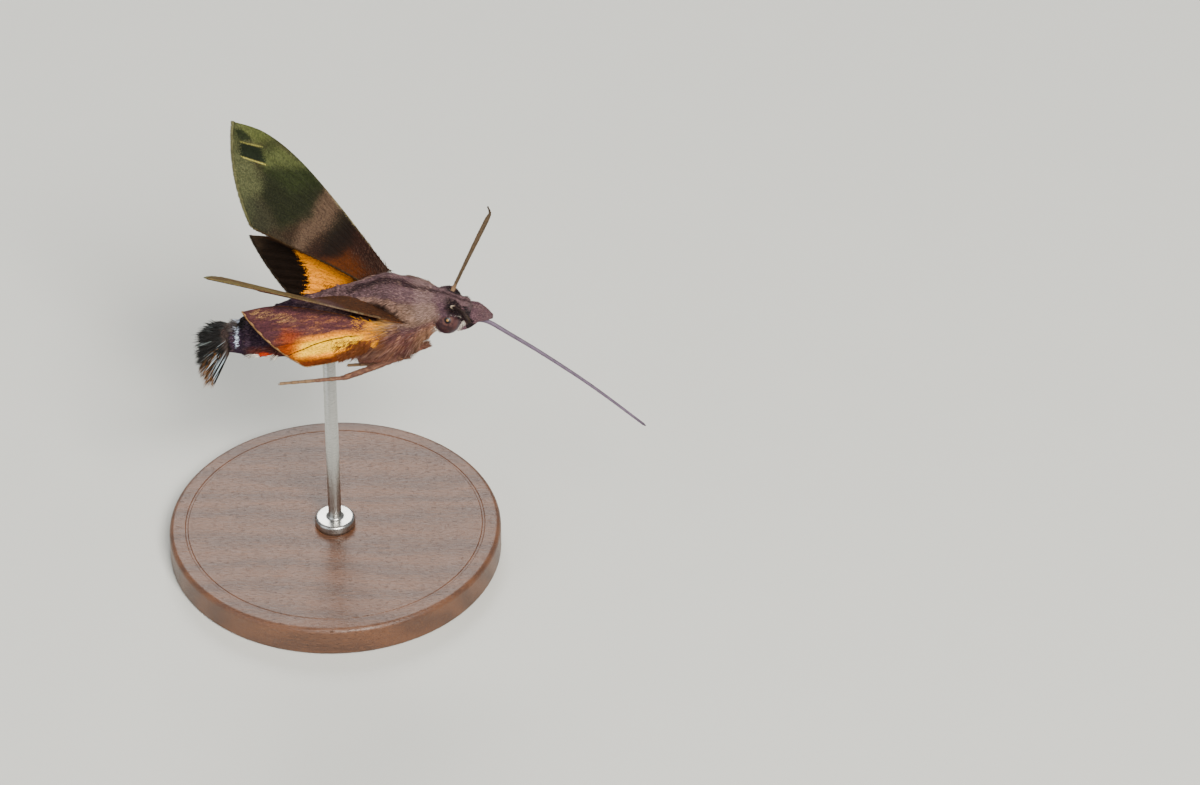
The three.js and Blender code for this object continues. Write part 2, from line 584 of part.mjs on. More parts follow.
const moth = new THREE.Group();
moth.name = 'hummingbird_hawk_moth';
moth.add(piece('head', headSolid(), COLOURS.fur));
moth.add(piece('thorax', thoraxSolid(), COLOURS.fur));
moth.add(piece('abdomen', abdomenSolid(), COLOURS.abdomen));
moth.add(piece('tail_fan', tailSolid(), COLOURS.tail));
moth.add(piece('proboscis', proboscisForm(0).subtract(clearance), COLOURS.proboscis));
for (const antenna of ANTENNAE) moth.add(piece(antenna.name, antennaSolid(antenna), COLOURS.limb));
for (const wing of WINGS) {
  const colour = wing.shape === FOREWING ? COLOURS.forewing : COLOURS.hindwing;
  moth.add(piece(wing.name, wingSolid(wing).subtract(clearance), colour));
}
const pairs = [
  ['palp', palpSolid(), COLOURS.fur],
  ['eye', eye(0, -1), COLOURS.eye],
  ...LEGS.map((leg) => [leg.name, legSolid(leg), COLOURS.limb]),
];
for (const [name, right, colour] of pairs) {
  moth.add(piece(`${name}_right`, right, colour));
  moth.add(piece(`${name}_left`, mirrored(right), colour));
}
moth.add(piece('stand_base', baseSolid(), COLOURS.wood));
moth.add(piece('stand_rod', rodSolid(), COLOURS.steel));

export default moth;
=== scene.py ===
"""A hummingbird hawk moth hovering with raised wings, life size, on a plain display stand.

Shapes are worked out in millimetres, with +X to the moth's head, +Y to its left and +Z up,
and are turned into metres when a mesh is made. Body sizes are measured from the thorax centre.
"""

from __future__ import annotations

import logging
import math
from dataclasses import dataclass, field
from enum import Enum
from typing import Any, Sequence, Union

import bpy
import numpy as np
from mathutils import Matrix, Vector


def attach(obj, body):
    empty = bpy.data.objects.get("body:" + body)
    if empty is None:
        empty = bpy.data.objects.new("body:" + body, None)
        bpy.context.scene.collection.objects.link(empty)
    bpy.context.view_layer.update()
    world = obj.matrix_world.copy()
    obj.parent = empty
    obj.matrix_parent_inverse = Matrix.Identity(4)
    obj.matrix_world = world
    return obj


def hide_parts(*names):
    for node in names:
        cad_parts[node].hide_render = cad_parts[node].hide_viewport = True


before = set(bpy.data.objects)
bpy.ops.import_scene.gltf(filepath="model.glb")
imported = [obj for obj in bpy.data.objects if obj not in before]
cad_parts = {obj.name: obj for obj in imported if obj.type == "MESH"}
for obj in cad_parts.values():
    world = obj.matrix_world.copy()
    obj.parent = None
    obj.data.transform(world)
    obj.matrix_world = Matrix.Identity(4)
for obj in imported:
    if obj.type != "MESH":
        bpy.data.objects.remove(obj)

log = logging.getLogger("moth")

MM = 0.001
THORAX = np.array([7.0, 0.0, 34.0])
SIDES = ((1, "left"), (-1, "right"))
Array = np.ndarray
Numbers = Union[float, Array]


# Small helpers.


def smoothstep(x: Numbers, low: float, high: float) -> Numbers:
    """Returns 0 below low, 1 above high and a smooth rise between them."""
    t = np.clip((np.asarray(x, float) - low) / (high - low), 0.0, 1.0)
    return t * t * (3.0 - 2.0 * t)


def lerp(a: Numbers, b: Numbers, t: Numbers) -> Numbers:
    """Returns the value that lies t of the way from a to b."""
    return a + (b - a) * t


def unit(v: Array) -> Array:
    """Returns the vectors at length one."""
    return v / np.maximum(np.linalg.norm(v, axis=-1, keepdims=True), 1e-12)


def between(random: np.random.Generator, low: Numbers, high: Numbers, n: int) -> Array:
    """Returns n chance numbers, spread evenly from low to high."""
    return lerp(low, high, random.random(n))


def either(random: np.random.Generator, n: int) -> Array:
    """Returns n numbers that are -1 or 1 by chance."""
    return random.choice([-1.0, 1.0], n)


def swung(first: Array, second: Array, angle: Array) -> Array:
    """Returns the ways at an angle, in radians, from the first way towards the second."""
    return first * np.cos(angle)[:, None] + second * np.sin(angle)[:, None]


def stacked(*values: Numbers) -> Array:
    """Returns rows of numbers from columns, where a column may be one number for all rows."""
    return np.stack(np.broadcast_arrays(*values), -1)


def catmull(points: Array, at: Array) -> Array:
    """Returns places on a smooth curve through the points.

    Args:
        points: The points, one to a row.
        at: Where on the curve, counted in points from 0.
    """
    last = len(points) - 1
    at = np.clip(np.asarray(at, float), 0.0, last - 1e-9)
    i = np.floor(at).astype(int)
    w = (at - i)[..., None]
    before, a = points[np.maximum(i - 1, 0)], points[i]
    b, after = points[np.minimum(i + 1, last)], points[np.minimum(i + 2, last)]
    into, out = (b - before) / 2, (after - a) / 2
    return (2 * a - 2 * b + into + out) * w**3 + (3 * b - 3 * a - 2 * into - out) * w**2 + into * w + a


def even_curve(points: Sequence[Sequence[float]], shares: Array) -> Array:
    """Returns places at shares of the length of a smooth curve through the points."""
    dense = catmull(np.array(points, float), np.linspace(0, len(points) - 1, 400))
    run = np.concatenate([[0], np.cumsum(np.linalg.norm(np.diff(dense, axis=0), axis=1))])
    return np.stack([np.interp(np.asarray(shares) * run[-1], run, axis) for axis in dense.T], -1)


# Meshes.


@dataclass
class Shell:
    """A mesh in the making: triangles or quads over points in millimetres.

    Attributes:
        points: One row to a point.
        faces: One row to a face, all with the same number of corners.
        uv: A place on the flat for each point.
        values: Named numbers, one to a point.
        slots: The material of each face, counted from 0.
    """

    points: Array
    faces: Array
    uv: Array | None = None
    values: dict[str, Array] = field(default_factory=dict)
    slots: Array | None = None

    @staticmethod
    def join(shells: Sequence[Shell]) -> Shell:
        """Returns one shell that holds them all; they share the same kind of faces and values."""
        starts = np.cumsum([0] + [len(s.points) for s in shells[:-1]])
        return Shell(
            np.concatenate([s.points for s in shells]),
            np.concatenate([s.faces + start for s, start in zip(shells, starts)]),
            np.concatenate([s.uv for s in shells]) if shells[0].uv is not None else None,
            {k: np.concatenate([s.values[k] for s in shells]) for k in shells[0].values},
            np.concatenate([s.slots for s in shells]) if shells[0].slots is not None else None,
        )

    def make(
        self, name: str, materials: Sequence[bpy.types.Material], uv_name: str, smooth: bool = True
    ) -> bpy.types.Object:
        """Makes the Blender object.

        Args:
            name: The object's name.
            materials: Its materials, in the order of slots.
            uv_name: The name of its UV map.
            smooth: Whether its faces are shaded smooth.

        Returns:
            The new object, in the scene.
        """
        mesh = bpy.data.meshes.new(name)
        sides = self.faces.shape[1]
        mesh.vertices.add(len(self.points))
        mesh.vertices.foreach_set("co", (self.points * MM).astype(np.float32).ravel())
        mesh.loops.add(self.faces.size)
        mesh.loops.foreach_set("vertex_index", self.faces.astype(np.int32).ravel())
        mesh.polygons.add(len(self.faces))
        mesh.polygons.foreach_set("loop_start", np.arange(0, self.faces.size, sides, dtype=np.int32))
        mesh.polygons.foreach_set("use_smooth", np.full(len(self.faces), smooth))
        if self.slots is not None:
            mesh.polygons.foreach_set("material_index", self.slots.astype(np.int32))
        mesh.update(calc_edges=True)
        if self.uv is not None:
            corners = self.uv[self.faces.ravel()]
            mesh.uv_layers.new(name=uv_name).data.foreach_set("uv", corners.astype(np.float32).ravel())
        for key, numbers in self.values.items():
            mesh.attributes.new(key, "FLOAT", "POINT").data.foreach_set("value", numbers.astype(np.float32))
        for material in materials:
            mesh.materials.append(material)
        made = bpy.data.objects.new(name, mesh)
        bpy.context.scene.collection.objects.link(made)
        return made


def grid_faces(rows: int, columns: int, closed: bool) -> Array:
    """Returns the quads of a grid of points, joined round from the last column to the first if closed."""
    i, j = np.meshgrid(np.arange(rows - 1), np.arange(columns if closed else columns - 1), indexing="ij")
    k = (j + 1) % columns
    low, high = i * columns, (i + 1) * columns
    return np.stack([low + j, low + k, high + k, high + j], -1).reshape(-1, 4)


def tube(
    path: Array, radii: Array, sides: int, flat: Numbers = 1.0, up: Sequence[float] = (0, 0, 1)
) -> Shell:
    """Returns a round-sectioned tube along a path, its ends drawn nearly shut.

    Args:
        path: The points along its middle.
        radii: Its radius at each point.
        sides: How many sides the section has.
        flat: The section's width across as a share of its height.
        up: The direction that its height keeps to.
    """
    tangent = unit(np.gradient(path, axis=0))
    across = unit(np.cross(tangent, np.asarray(up, float)))
    rise = np.cross(across, tangent)
    radii = np.array(radii, float)
    path = np.concatenate([path[:1], path, path[-1:]])
    across, rise = (np.concatenate([v[:1], v, v[-1:]]) for v in (across, rise))
    radii = np.concatenate([[radii[0] * 0.02], radii, [radii[-1] * 0.02]])
    angle = np.linspace(0, 2 * np.pi, sides, endpoint=False)
    ring = (
        across[:, None] * (np.cos(angle) * flat)[None, :, None]
        + rise[:, None] * np.sin(angle)[None, :, None]
    )
    points = path[:, None] + ring * radii[:, None, None]
    run = np.linspace(0, 1, len(path))
    uv = stacked(angle[None] / (2 * np.pi), run[:, None])
    return Shell(points.reshape(-1, 3), grid_faces(len(path), sides, True)[:, ::-1], uv.reshape(-1, 2))


@dataclass
class Tufts:
    """Tapering locks of fur or scales, each a closed-sided spike of nine triangles sunk in the skin.

    Attributes:
        roots: Where they grow.
        along: The way they point, not always of length one.
        normals: The skin's outward direction at the roots.
        length: How long each is.
        width: How wide each is at its widest.
        droop: How far each tip bends down to the skin, as a share of its length.
        uv: The roots' places on the skin's flat plan.
        kind: A number that the material reads, such as which marking the lock belongs to.
        thick: How high its ridge stands, as a share of its width.
        patch: The size of its patch on the flat plan.
    """

    roots: Array
    along: Array
    normals: Array
    length: Array
    width: Numbers
    droop: Numbers
    uv: Array
    kind: Numbers = 0.0
    thick: float = 0.35
    patch: float = 0.003

    def shell(self, random: np.random.Generator) -> Shell:
        """Returns their mesh, with the values shade (one for each lock), tip (0 at the root to 1) and kind."""
        n = len(self.roots)
        along = unit(self.along)
        across = unit(np.cross(along, self.normals))
        top = np.cross(across, along)
        length, width = (np.broadcast_to(v, n)[:, None] for v in (self.length, self.width))
        droop = np.broadcast_to(self.droop, n)[:, None]
        points = np.empty((n, 7, 3))
        start = self.roots - self.normals * np.minimum(0.08, 0.1 * length)
        for level, (share, breadth) in enumerate(((0.0, 0.55), (0.45, 1.0))):
            centre = start + along * length * share - self.normals * droop * length * share**2
            points[:, 3 * level] = centre - across * width * breadth / 2
            points[:, 3 * level + 1] = centre + top * width * breadth * self.thick
            points[:, 3 * level + 2] = centre + across * width * breadth / 2
        points[:, 6] = start + along * length - self.normals * droop * length
        sides = [[0, 1, 4], [0, 4, 3], [1, 2, 5], [1, 5, 4], [2, 0, 3], [2, 3, 5]]
        pattern = np.array([*sides, [3, 4, 6], [4, 5, 6], [5, 3, 6]])
        faces = (pattern[None] + 7 * np.arange(n)[:, None, None]).reshape(-1, 3)
        spots = np.array([[-1, -1], [0, -1], [1, -1], [-1, 0.2], [0, 0.2], [1, 0.2], [0, 1]]) * self.patch / 2
        tip = np.array([0, 0, 0, 0.45, 0.45, 0.45, 1.0])
        values = {
            "shade": np.repeat(random.random(n), 7),
            "tip": np.tile(tip, n),
            "kind": np.repeat(np.broadcast_to(self.kind, n), 7),
        }
        return Shell(points.reshape(-1, 3), faces[:, ::-1], (self.uv[:, None] + spots).reshape(-1, 2), values)


# Materials.


Level = Union["Wire", float]
Tint = Union["Wire", str]


def linear(hexcode: str) -> tuple[float, float, float, float]:
    """Returns a hex colour as the linear numbers that shaders take."""
    parts = [int(hexcode[i : i + 2], 16) / 255 for i in (1, 3, 5)]
    return (*(c / 12.92 if c <= 0.04045 else ((c + 0.055) / 1.055) ** 2.4 for c in parts), 1.0)


class Wire:
    """A shader output that can be used in sums."""

    def __init__(self, graph: Graph, socket: bpy.types.NodeSocket) -> None:
        self.graph = graph
        self.socket = socket

    def sum(self, operation: str, *others: Level) -> Wire:
        """Returns a sum of this and the others, by a Math node's operation."""
        return self.graph.wire("ShaderNodeMath", dict(enumerate((self, *others))), operation=operation)

    def __add__(self, other: Level) -> Wire:
        return self.sum("ADD", other)

    def __sub__(self, other: Level) -> Wire:
        return self.sum("SUBTRACT", other)

    def __mul__(self, other: Level) -> Wire:
        return self.sum("MULTIPLY", other)

    def __truediv__(self, other: Level) -> Wire:
        return self.sum("DIVIDE", other)

    def __rsub__(self, other: float) -> Wire:
        return self * -1.0 + other

    def __neg__(self) -> Wire:
        return self * -1.0

    __radd__ = __add__
    __rmul__ = __mul__

    def size(self) -> Wire:
        """Returns its size without its sign."""
        return self.sum("ABSOLUTE")

    def sine(self) -> Wire:
        """Returns its sine."""
        return self.sum("SINE")

    def least(self, other: Level) -> Wire:
        """Returns the lower of the two."""
        return self.sum("MINIMUM", other)

    def most(self, other: Level) -> Wire:
        """Returns the higher of the two."""
        return self.sum("MAXIMUM", other)

    def rise(self, low: float, high: float) -> Wire:
        """Returns 0 below low, 1 above high and a smooth rise between; low may be the higher."""
        values = {"Value": self, "From Min": low, "From Max": high}
        return self.graph.wire("ShaderNodeMapRange", values, interpolation_type="SMOOTHSTEP")

    def near(self, centre: Level, half: float, soft: float) -> Wire:
        """Returns 1 within half of the centre, and 0 from soft beyond that."""
        return (self - centre).size().rise(half + soft, half)


class Graph:
    """A material's nodes, with one method for any node."""

    def __init__(self, name: str, roughness: float = 0.8, **constants: Any) -> None:
        self.material = bpy.data.materials.new(name)
        self.material.use_nodes = True
        self.nodes = self.material.node_tree.nodes
        self.links = self.material.node_tree.links
        self.shader = next(n for n in self.nodes if n.type == "BSDF_PRINCIPLED")
        self.shader.inputs["Roughness"].default_value = roughness
        for key, value in constants.items():
            self.shader.inputs[key.replace("_", " ")].default_value = value

    def node(self, kind: str, values: dict[Any, Any] | None = None, **settings: Any) -> bpy.types.Node:
        """Adds a node.

        Args:
            kind: Its type's name.
            values: Its inputs by name or number, each a wire, a number, a hex colour or a tuple.
            settings: Its own settings.
        """
        made = self.nodes.new(kind)
        for key, value in settings.items():
            setattr(made, key, value)
        for key, value in (values or {}).items():
            socket = made.inputs[key]
            if isinstance(value, Wire):
                self.links.new(value.socket, socket)
            else:
                socket.default_value = linear(value) if isinstance(value, str) else value
        return made

    def wire(self, kind: str, values: dict[Any, Any] | None = None, output: Any = 0, **settings: Any) -> Wire:
        """Adds a node and returns one of its outputs."""
        return Wire(self, self.node(kind, values, **settings).outputs[output])

    def plan(self, name: str) -> tuple[Wire, Wire]:
        """Returns the two numbers of a UV map."""
        uv = self.wire("ShaderNodeUVMap", uv_map=name)
        parts = self.node("ShaderNodeSeparateXYZ", {0: uv})
        return Wire(self, parts.outputs[0]), Wire(self, parts.outputs[1])

    def place(self) -> tuple[Wire, Wire, Wire]:
        """Returns the place in the model's frame, in millimetres."""
        parts = self.node("ShaderNodeSeparateXYZ", {0: self.wire("ShaderNodeTexCoord", output="Object")})
        x, y, z = (Wire(self, parts.outputs[i]) / MM for i in range(3))
        return x, y, z

    def vector(self, x: Level, y: Level, z: Level = 0.0) -> Wire:
        """Returns a vector of three numbers."""
        return self.wire("ShaderNodeCombineXYZ", {0: x, 1: y, 2: z})

    def value(self, name: str) -> Wire:
        """Returns a named number of the mesh."""
        return self.wire("ShaderNodeAttribute", output="Fac", attribute_name=name)

    def noise(self, where: Wire, scale: float, detail: float = 3.0, rough: float = 0.6) -> Wire:
        """Returns smooth noise from 0 to 1, with features about 1 / scale across."""
        return self.wire(
            "ShaderNodeTexNoise", {"Vector": where, "Scale": scale, "Detail": detail, "Roughness": rough}
        )

    def cells(self, where: Wire, scale: float, output: str = "Distance", feature: str = "F1") -> Wire:
        """Returns a pattern of cells, each about 1 / scale across."""
        return self.wire("ShaderNodeTexVoronoi", {"Vector": where, "Scale": scale}, output, feature=feature)

    def mix(self, factor: Level, a: Tint, b: Tint, blend: str = "MIX") -> Wire:
        """Returns colour a with b over it, as far as the factor says."""
        made = self.node("ShaderNodeMix", data_type="RGBA", blend_type=blend)
        for key, value in ((0, factor), (6, a), (7, b)):
            if isinstance(value, Wire):
                self.links.new(value.socket, made.inputs[key])
            else:
                made.inputs[key].default_value = linear(value) if isinstance(value, str) else value
        return Wire(self, made.outputs[2])

    def distance(self, x: Level, y: Level) -> Wire:
        """Returns how far a place lies from the middle of an oval, where 1 is its edge."""
        return self.wire("ShaderNodeVectorMath", {0: self.vector(x, y)}, "Value", operation="LENGTH")

    def layers(self, base: Tint, *over: tuple[Level, Tint]) -> Wire:
        """Returns a base colour with masks and colours laid over it in turn."""
        for factor, tint in over:
            base = self.mix(factor, base, tint)
        return base

    def shaded(self, colour: Wire, factor: Wire) -> Wire:
        """Returns a colour made darker or lighter by a factor around 1."""
        return self.mix(1.0, colour, self.vector(factor, factor, factor), "MULTIPLY")

    def varied(self, colour: Wire) -> Wire:
        """Returns a colour made darker or lighter from one lock to the next."""
        return self.shaded(colour, self.value("shade") * 0.8 + 0.6)

    def finish(
        self, colour: Tint, roughness: Level | None = None, bump: Wire | None = None, deep: float = 0.1
    ) -> bpy.types.Material:
        """Joins the colour, roughness and bump to the shader.

        Args:
            colour: The base colour.
            roughness: The roughness, where it varies.
            bump: The height of the bumps, from 0 to 1.
            deep: How high they are, in millimetres.
        """
        for key, value in (("Base Color", colour), ("Roughness", roughness)):
            if isinstance(value, Wire):
                self.links.new(value.socket, self.shader.inputs[key])
            elif value is not None:
                self.shader.inputs[key].default_value = linear(value) if isinstance(value, str) else value
        if bump is not None:
            normal = self.wire(
                "ShaderNodeBump", {"Height": bump, "Distance": deep * MM, "Strength": 1.0}, "Normal"
            )
            self.links.new(normal.socket, self.shader.inputs["Normal"])
        return self.material


# The body.


@dataclass(frozen=True)
class Section:
    """A section across the body: its place, the height of its middle, and its reach from there."""

    x: float
    mid: float
    half: float
    up: float
    down: float


@dataclass(frozen=True)
class Pad:
    """A rise or a hollow in the skin, on both sides of the body."""

    x: float
    around: float
    length: float
    width: float
    height: float
    lean: float = 0.0

    def at(self, x: Array, degrees: Array) -> Array:
        """Returns its height at places on the body."""
        around = self.around + self.lean * (x - self.x)
        r = np.hypot((x - self.x) / self.length, (np.abs(degrees) - around) / self.width)
        return self.height * (1 - smoothstep(r, 0.35, 1.0))


@dataclass(frozen=True)
class Body:
    """The trunk's skin from face to tail. Angles are from the top, positive on the moth's right side."""

    sections: tuple[Section, ...] = (
        Section(9.1, 0.25, 0.95, 0.75, 1.1),
        Section(8.6, 0.2, 1.6, 1.2, 1.55),
        Section(7.7, 0.15, 2.15, 1.8, 2.0),
        Section(6.7, 0.15, 2.4, 2.4, 2.25),
        Section(5.6, 0.2, 2.7, 2.8, 2.45),
        Section(4.6, 0.2, 3.2, 3.15, 2.95),
        Section(2.6, 0.05, 4.05, 3.9, 3.95),
        Section(0.0, 0.0, 4.5, 4.75, 4.5),
        Section(-2.6, -0.15, 4.4, 4.2, 4.45),
        Section(-5.2, -0.7, 4.05, 3.75, 3.95),
        Section(-8.0, -1.5, 3.95, 3.4, 3.6),
        Section(-10.8, -2.3, 3.9, 3.35, 3.15),
        Section(-13.4, -2.95, 3.55, 2.8, 2.6),
        Section(-15.8, -3.3, 3.1, 2.35, 2.15),
        Section(-17.6, -3.65, 2.5, 1.75, 1.6),
    )
    face: float = 9.0
    waist: float = -5.2
    end: float = -17.4
    cone_end: float = -19.0
    rings: int = 7
    shoulder: Pad = Pad(3.3, 56, 2.6, 30, 0.4)
    hollow: Pad = Pad(-1.6, 52, 3.6, 21, -0.7, 3.5)
    plan_from: float = -19.5
    plan_length: float = 32.0
    brow: float = 8.3
    turn_height: float = 0.1

    def coat_depth(self, x: Array) -> Array:
        """Returns how far the skin lies inside the solid body, under the fur."""
        chest = smoothstep(x, -7, -4) * (1 - smoothstep(x, 4.5, 6.5))
        return lerp(0.32, 0.5, chest) - 0.08 * smoothstep(x, 6, 8)

    def relief(self, x: Array, degrees: Array) -> Array:
        """Returns the rises and hollows of the skin, in millimetres outwards."""
        step = (self.waist - x) / ((self.waist - self.end) / self.rings)
        ring = np.where((x < self.waist) & (x > self.end), -0.16 * np.exp(-((step % 1.0) / 0.12) ** 2), 0)
        return self.shoulder.at(x, degrees) + self.hollow.at(x, degrees) + ring

    def place(self, x: Array, degrees: Array, grow: Numbers = 0.0) -> Array:
        """Returns places on the skin, in millimetres of the model's frame.

        Args:
            x: Distance before the thorax centre.
            degrees: Angle from the top, positive on the right.
            grow: How far outside the skin.
        """
        x, degrees = np.broadcast_arrays(np.asarray(x, float), np.asarray(degrees, float))
        table = np.array([[s.x, s.mid, s.half, s.up, s.down] for s in self.sections])
        at = np.interp(-x, -table[:, 0], np.arange(len(table)))
        mid, half, up, down = np.moveaxis(catmull(table[:, 1:], at), -1, 0)
        grow = grow + self.relief(x, degrees) - self.coat_depth(x)
        nose = np.sqrt(np.clip(1 - np.clip((x - self.brow) / (self.face - self.brow), 0, 1) ** 2, 0.0, 1))
        cone = lerp(1.0, 0.42, np.clip((self.end - x) / (self.end - self.cone_end), 0, 1))
        across, rise = np.sin(np.radians(degrees)), np.cos(np.radians(degrees))
        reach = np.where(rise > 0, up, down) + grow
        y = -across * (half + grow) * nose * cone
        z = mid + rise * reach * nose * cone
        return np.stack([x, y, z], -1) + THORAX

    def plan(self, x: Array, degrees: Array) -> Array:
        """Returns the places on the skin's flat plan: round the body and along it."""
        x, degrees = np.broadcast_arrays(np.asarray(x, float), np.asarray(degrees, float))
        return np.stack([degrees / 360 + 0.5, (x - self.plan_from) / self.plan_length], -1)

    def plan_at(self, points: Array) -> Array:
        """Returns the places on the flat plan for points on or near the skin."""
        local = points - THORAX
        return self.plan(local[:, 0], np.degrees(np.arctan2(-local[:, 1], local[:, 2] - self.turn_height)))

    def axes(self, x: Array, degrees: Array) -> tuple[Array, Array, Array]:
        """Returns the skin's outward, backward and sideways (down the right side) directions."""
        back = unit(self.place(x - 0.05, degrees) - self.place(x + 0.05, degrees))
        side = unit(self.place(x, degrees + 0.5) - self.place(x, degrees - 0.5))
        return unit(np.cross(back, side)), back, side

    def shell(self, along: int = 240, around: int = 168) -> Shell:
        """Returns the skin, closed at both ends, with a plan that is cut along the belly."""
        nose = np.linspace(self.face - 0.002, self.brow, 12)[:-1]
        x = np.concatenate([nose, np.linspace(self.brow, self.cone_end, along)])
        degrees = np.linspace(-180, 180, around + 1)
        points = self.place(x[:, None], degrees[None])
        uv = self.plan(x[:, None], degrees[None]).reshape(-1, 2)
        faces = grid_faces(len(x), around + 1, False)
        caps = []
        for row, turned in ((0, False), (len(x) - 1, True)):
            ring = row * (around + 1) + np.arange(around)
            half = around // 2
            strip = np.stack([ring[:half], ring[:half] + 1, ring[::-1][:half], ring[::-1][:half] + 1], -1)
            caps.append(strip[:, [0, 1, 2, 3]] if turned else strip[:, [3, 2, 1, 0]])
        return Shell(points.reshape(-1, 3), np.concatenate([faces[:, ::-1], *caps]), uv)


@dataclass(frozen=True)
class Eye:
    """A compound eye, the same on both sides but mirrored."""

    centre: tuple[float, float, float] = (6.45, 2.05, 0.15)
    radius: float = 1.43
    flat: float = 0.93
    # The way of the pole where the false pupil is painted; on the right eye it points at the camera.
    look: tuple[float, float, float] = (0.03, 0.788, 0.616)

    def middle(self, side: int) -> Array:
        """Returns the centre of the eye of one side: 1 left, -1 right."""
        x, y, z = self.centre
        return np.array([x, side * y, z]) + THORAX

    def surface(self, ways: Array, side: int) -> Array:
        """Returns the places on the eyeball that lie in these ways from its middle."""
        return self.middle(side) + ways * self.radius * np.array([1.0, self.flat, 1.0])

    def shell(self, side: int, down: int = 48, around: int = 72) -> Shell:
        """Returns the eyeball, its pole on the side that faces the camera, mirrored on the left eye, where the
        dark false pupil is painted.
        """
        polar = np.linspace(0.002, math.pi - 0.002, down)
        turn = np.linspace(0, 2 * math.pi, around, endpoint=False)
        look = unit(np.array(self.look) * [1, side, 1])
        first = unit(np.cross(look, np.array([1.0, 0, 0])))
        second = np.cross(look, first)
        rim = np.cos(turn)[None, :, None] * first + np.sin(turn)[None, :, None] * second
        ball = np.cos(polar)[:, None, None] * look + np.sin(polar)[:, None, None] * rim
        points = self.surface(ball, side)
        uv = stacked(turn[None] / (2 * math.pi), polar[:, None] / math.pi)
        return Shell(points.reshape(-1, 3), grid_faces(down, around, True), uv.reshape(-1, 2))


@dataclass(frozen=True)
class Palp:
    """A blunt upturned pad of scales before the face, one on each side of a filling (side 0)."""

    path: tuple[tuple[float, float, float], ...] = (
        (7.2, 0.9, -1.5), (8.3, 0.9, -0.85), (9.4, 0.8, -0.12), (10.4, 0.6, -0.36), (11.25, 0.36, -0.66),
    )
    radii: tuple[float, ...] = (0.8, 1.0, 0.96, 0.62, 0.27)
    filling: float = 0.05
    flat: float = 0.62
    coat: float = 0.14

    def middle(self, share: Array, side: int) -> Array:
        """Returns places along its middle."""
        return even_curve(self.path, share) * np.array([1, side, 1]) + THORAX

    def radius(self, share: Array, side: int) -> Array:
        """Returns its half height along it."""
        at = np.asarray(share) * (len(self.radii) - 1)
        grow = self.filling if side == 0 else 0.0
        return catmull(np.array(self.radii)[:, None], at)[..., 0] - self.coat + grow

    def breadth(self, side: int) -> float:
        """Returns its width as a share of its height."""
        return self.flat if side else 1.15

    def surface(self, share: Array, degrees: Array, side: int) -> tuple[Array, Array, Array]:
        """Returns places on its skin with their outward and forward directions."""
        middle = self.middle(share, side)
        forward = unit(self.middle(share + 0.01, side) - self.middle(share - 0.01, side))
        across = unit(np.cross(forward, np.array([0.0, 0, 1])))
        rise = np.cross(across, forward)
        angle = np.radians(degrees)[..., None]
        flat = self.breadth(side)
        out = across * np.sin(angle) * flat + rise * np.cos(angle)
        normal = unit(across * np.sin(angle) + rise * np.cos(angle) * flat)
        return middle + out * self.radius(share, side)[..., None], normal, forward


# The coat.


@dataclass(frozen=True)
class Region:
    """A stretch of the coat, from one place along the body to another."""

    name: str
    start: float
    stop: float
    density: float
    slot: str


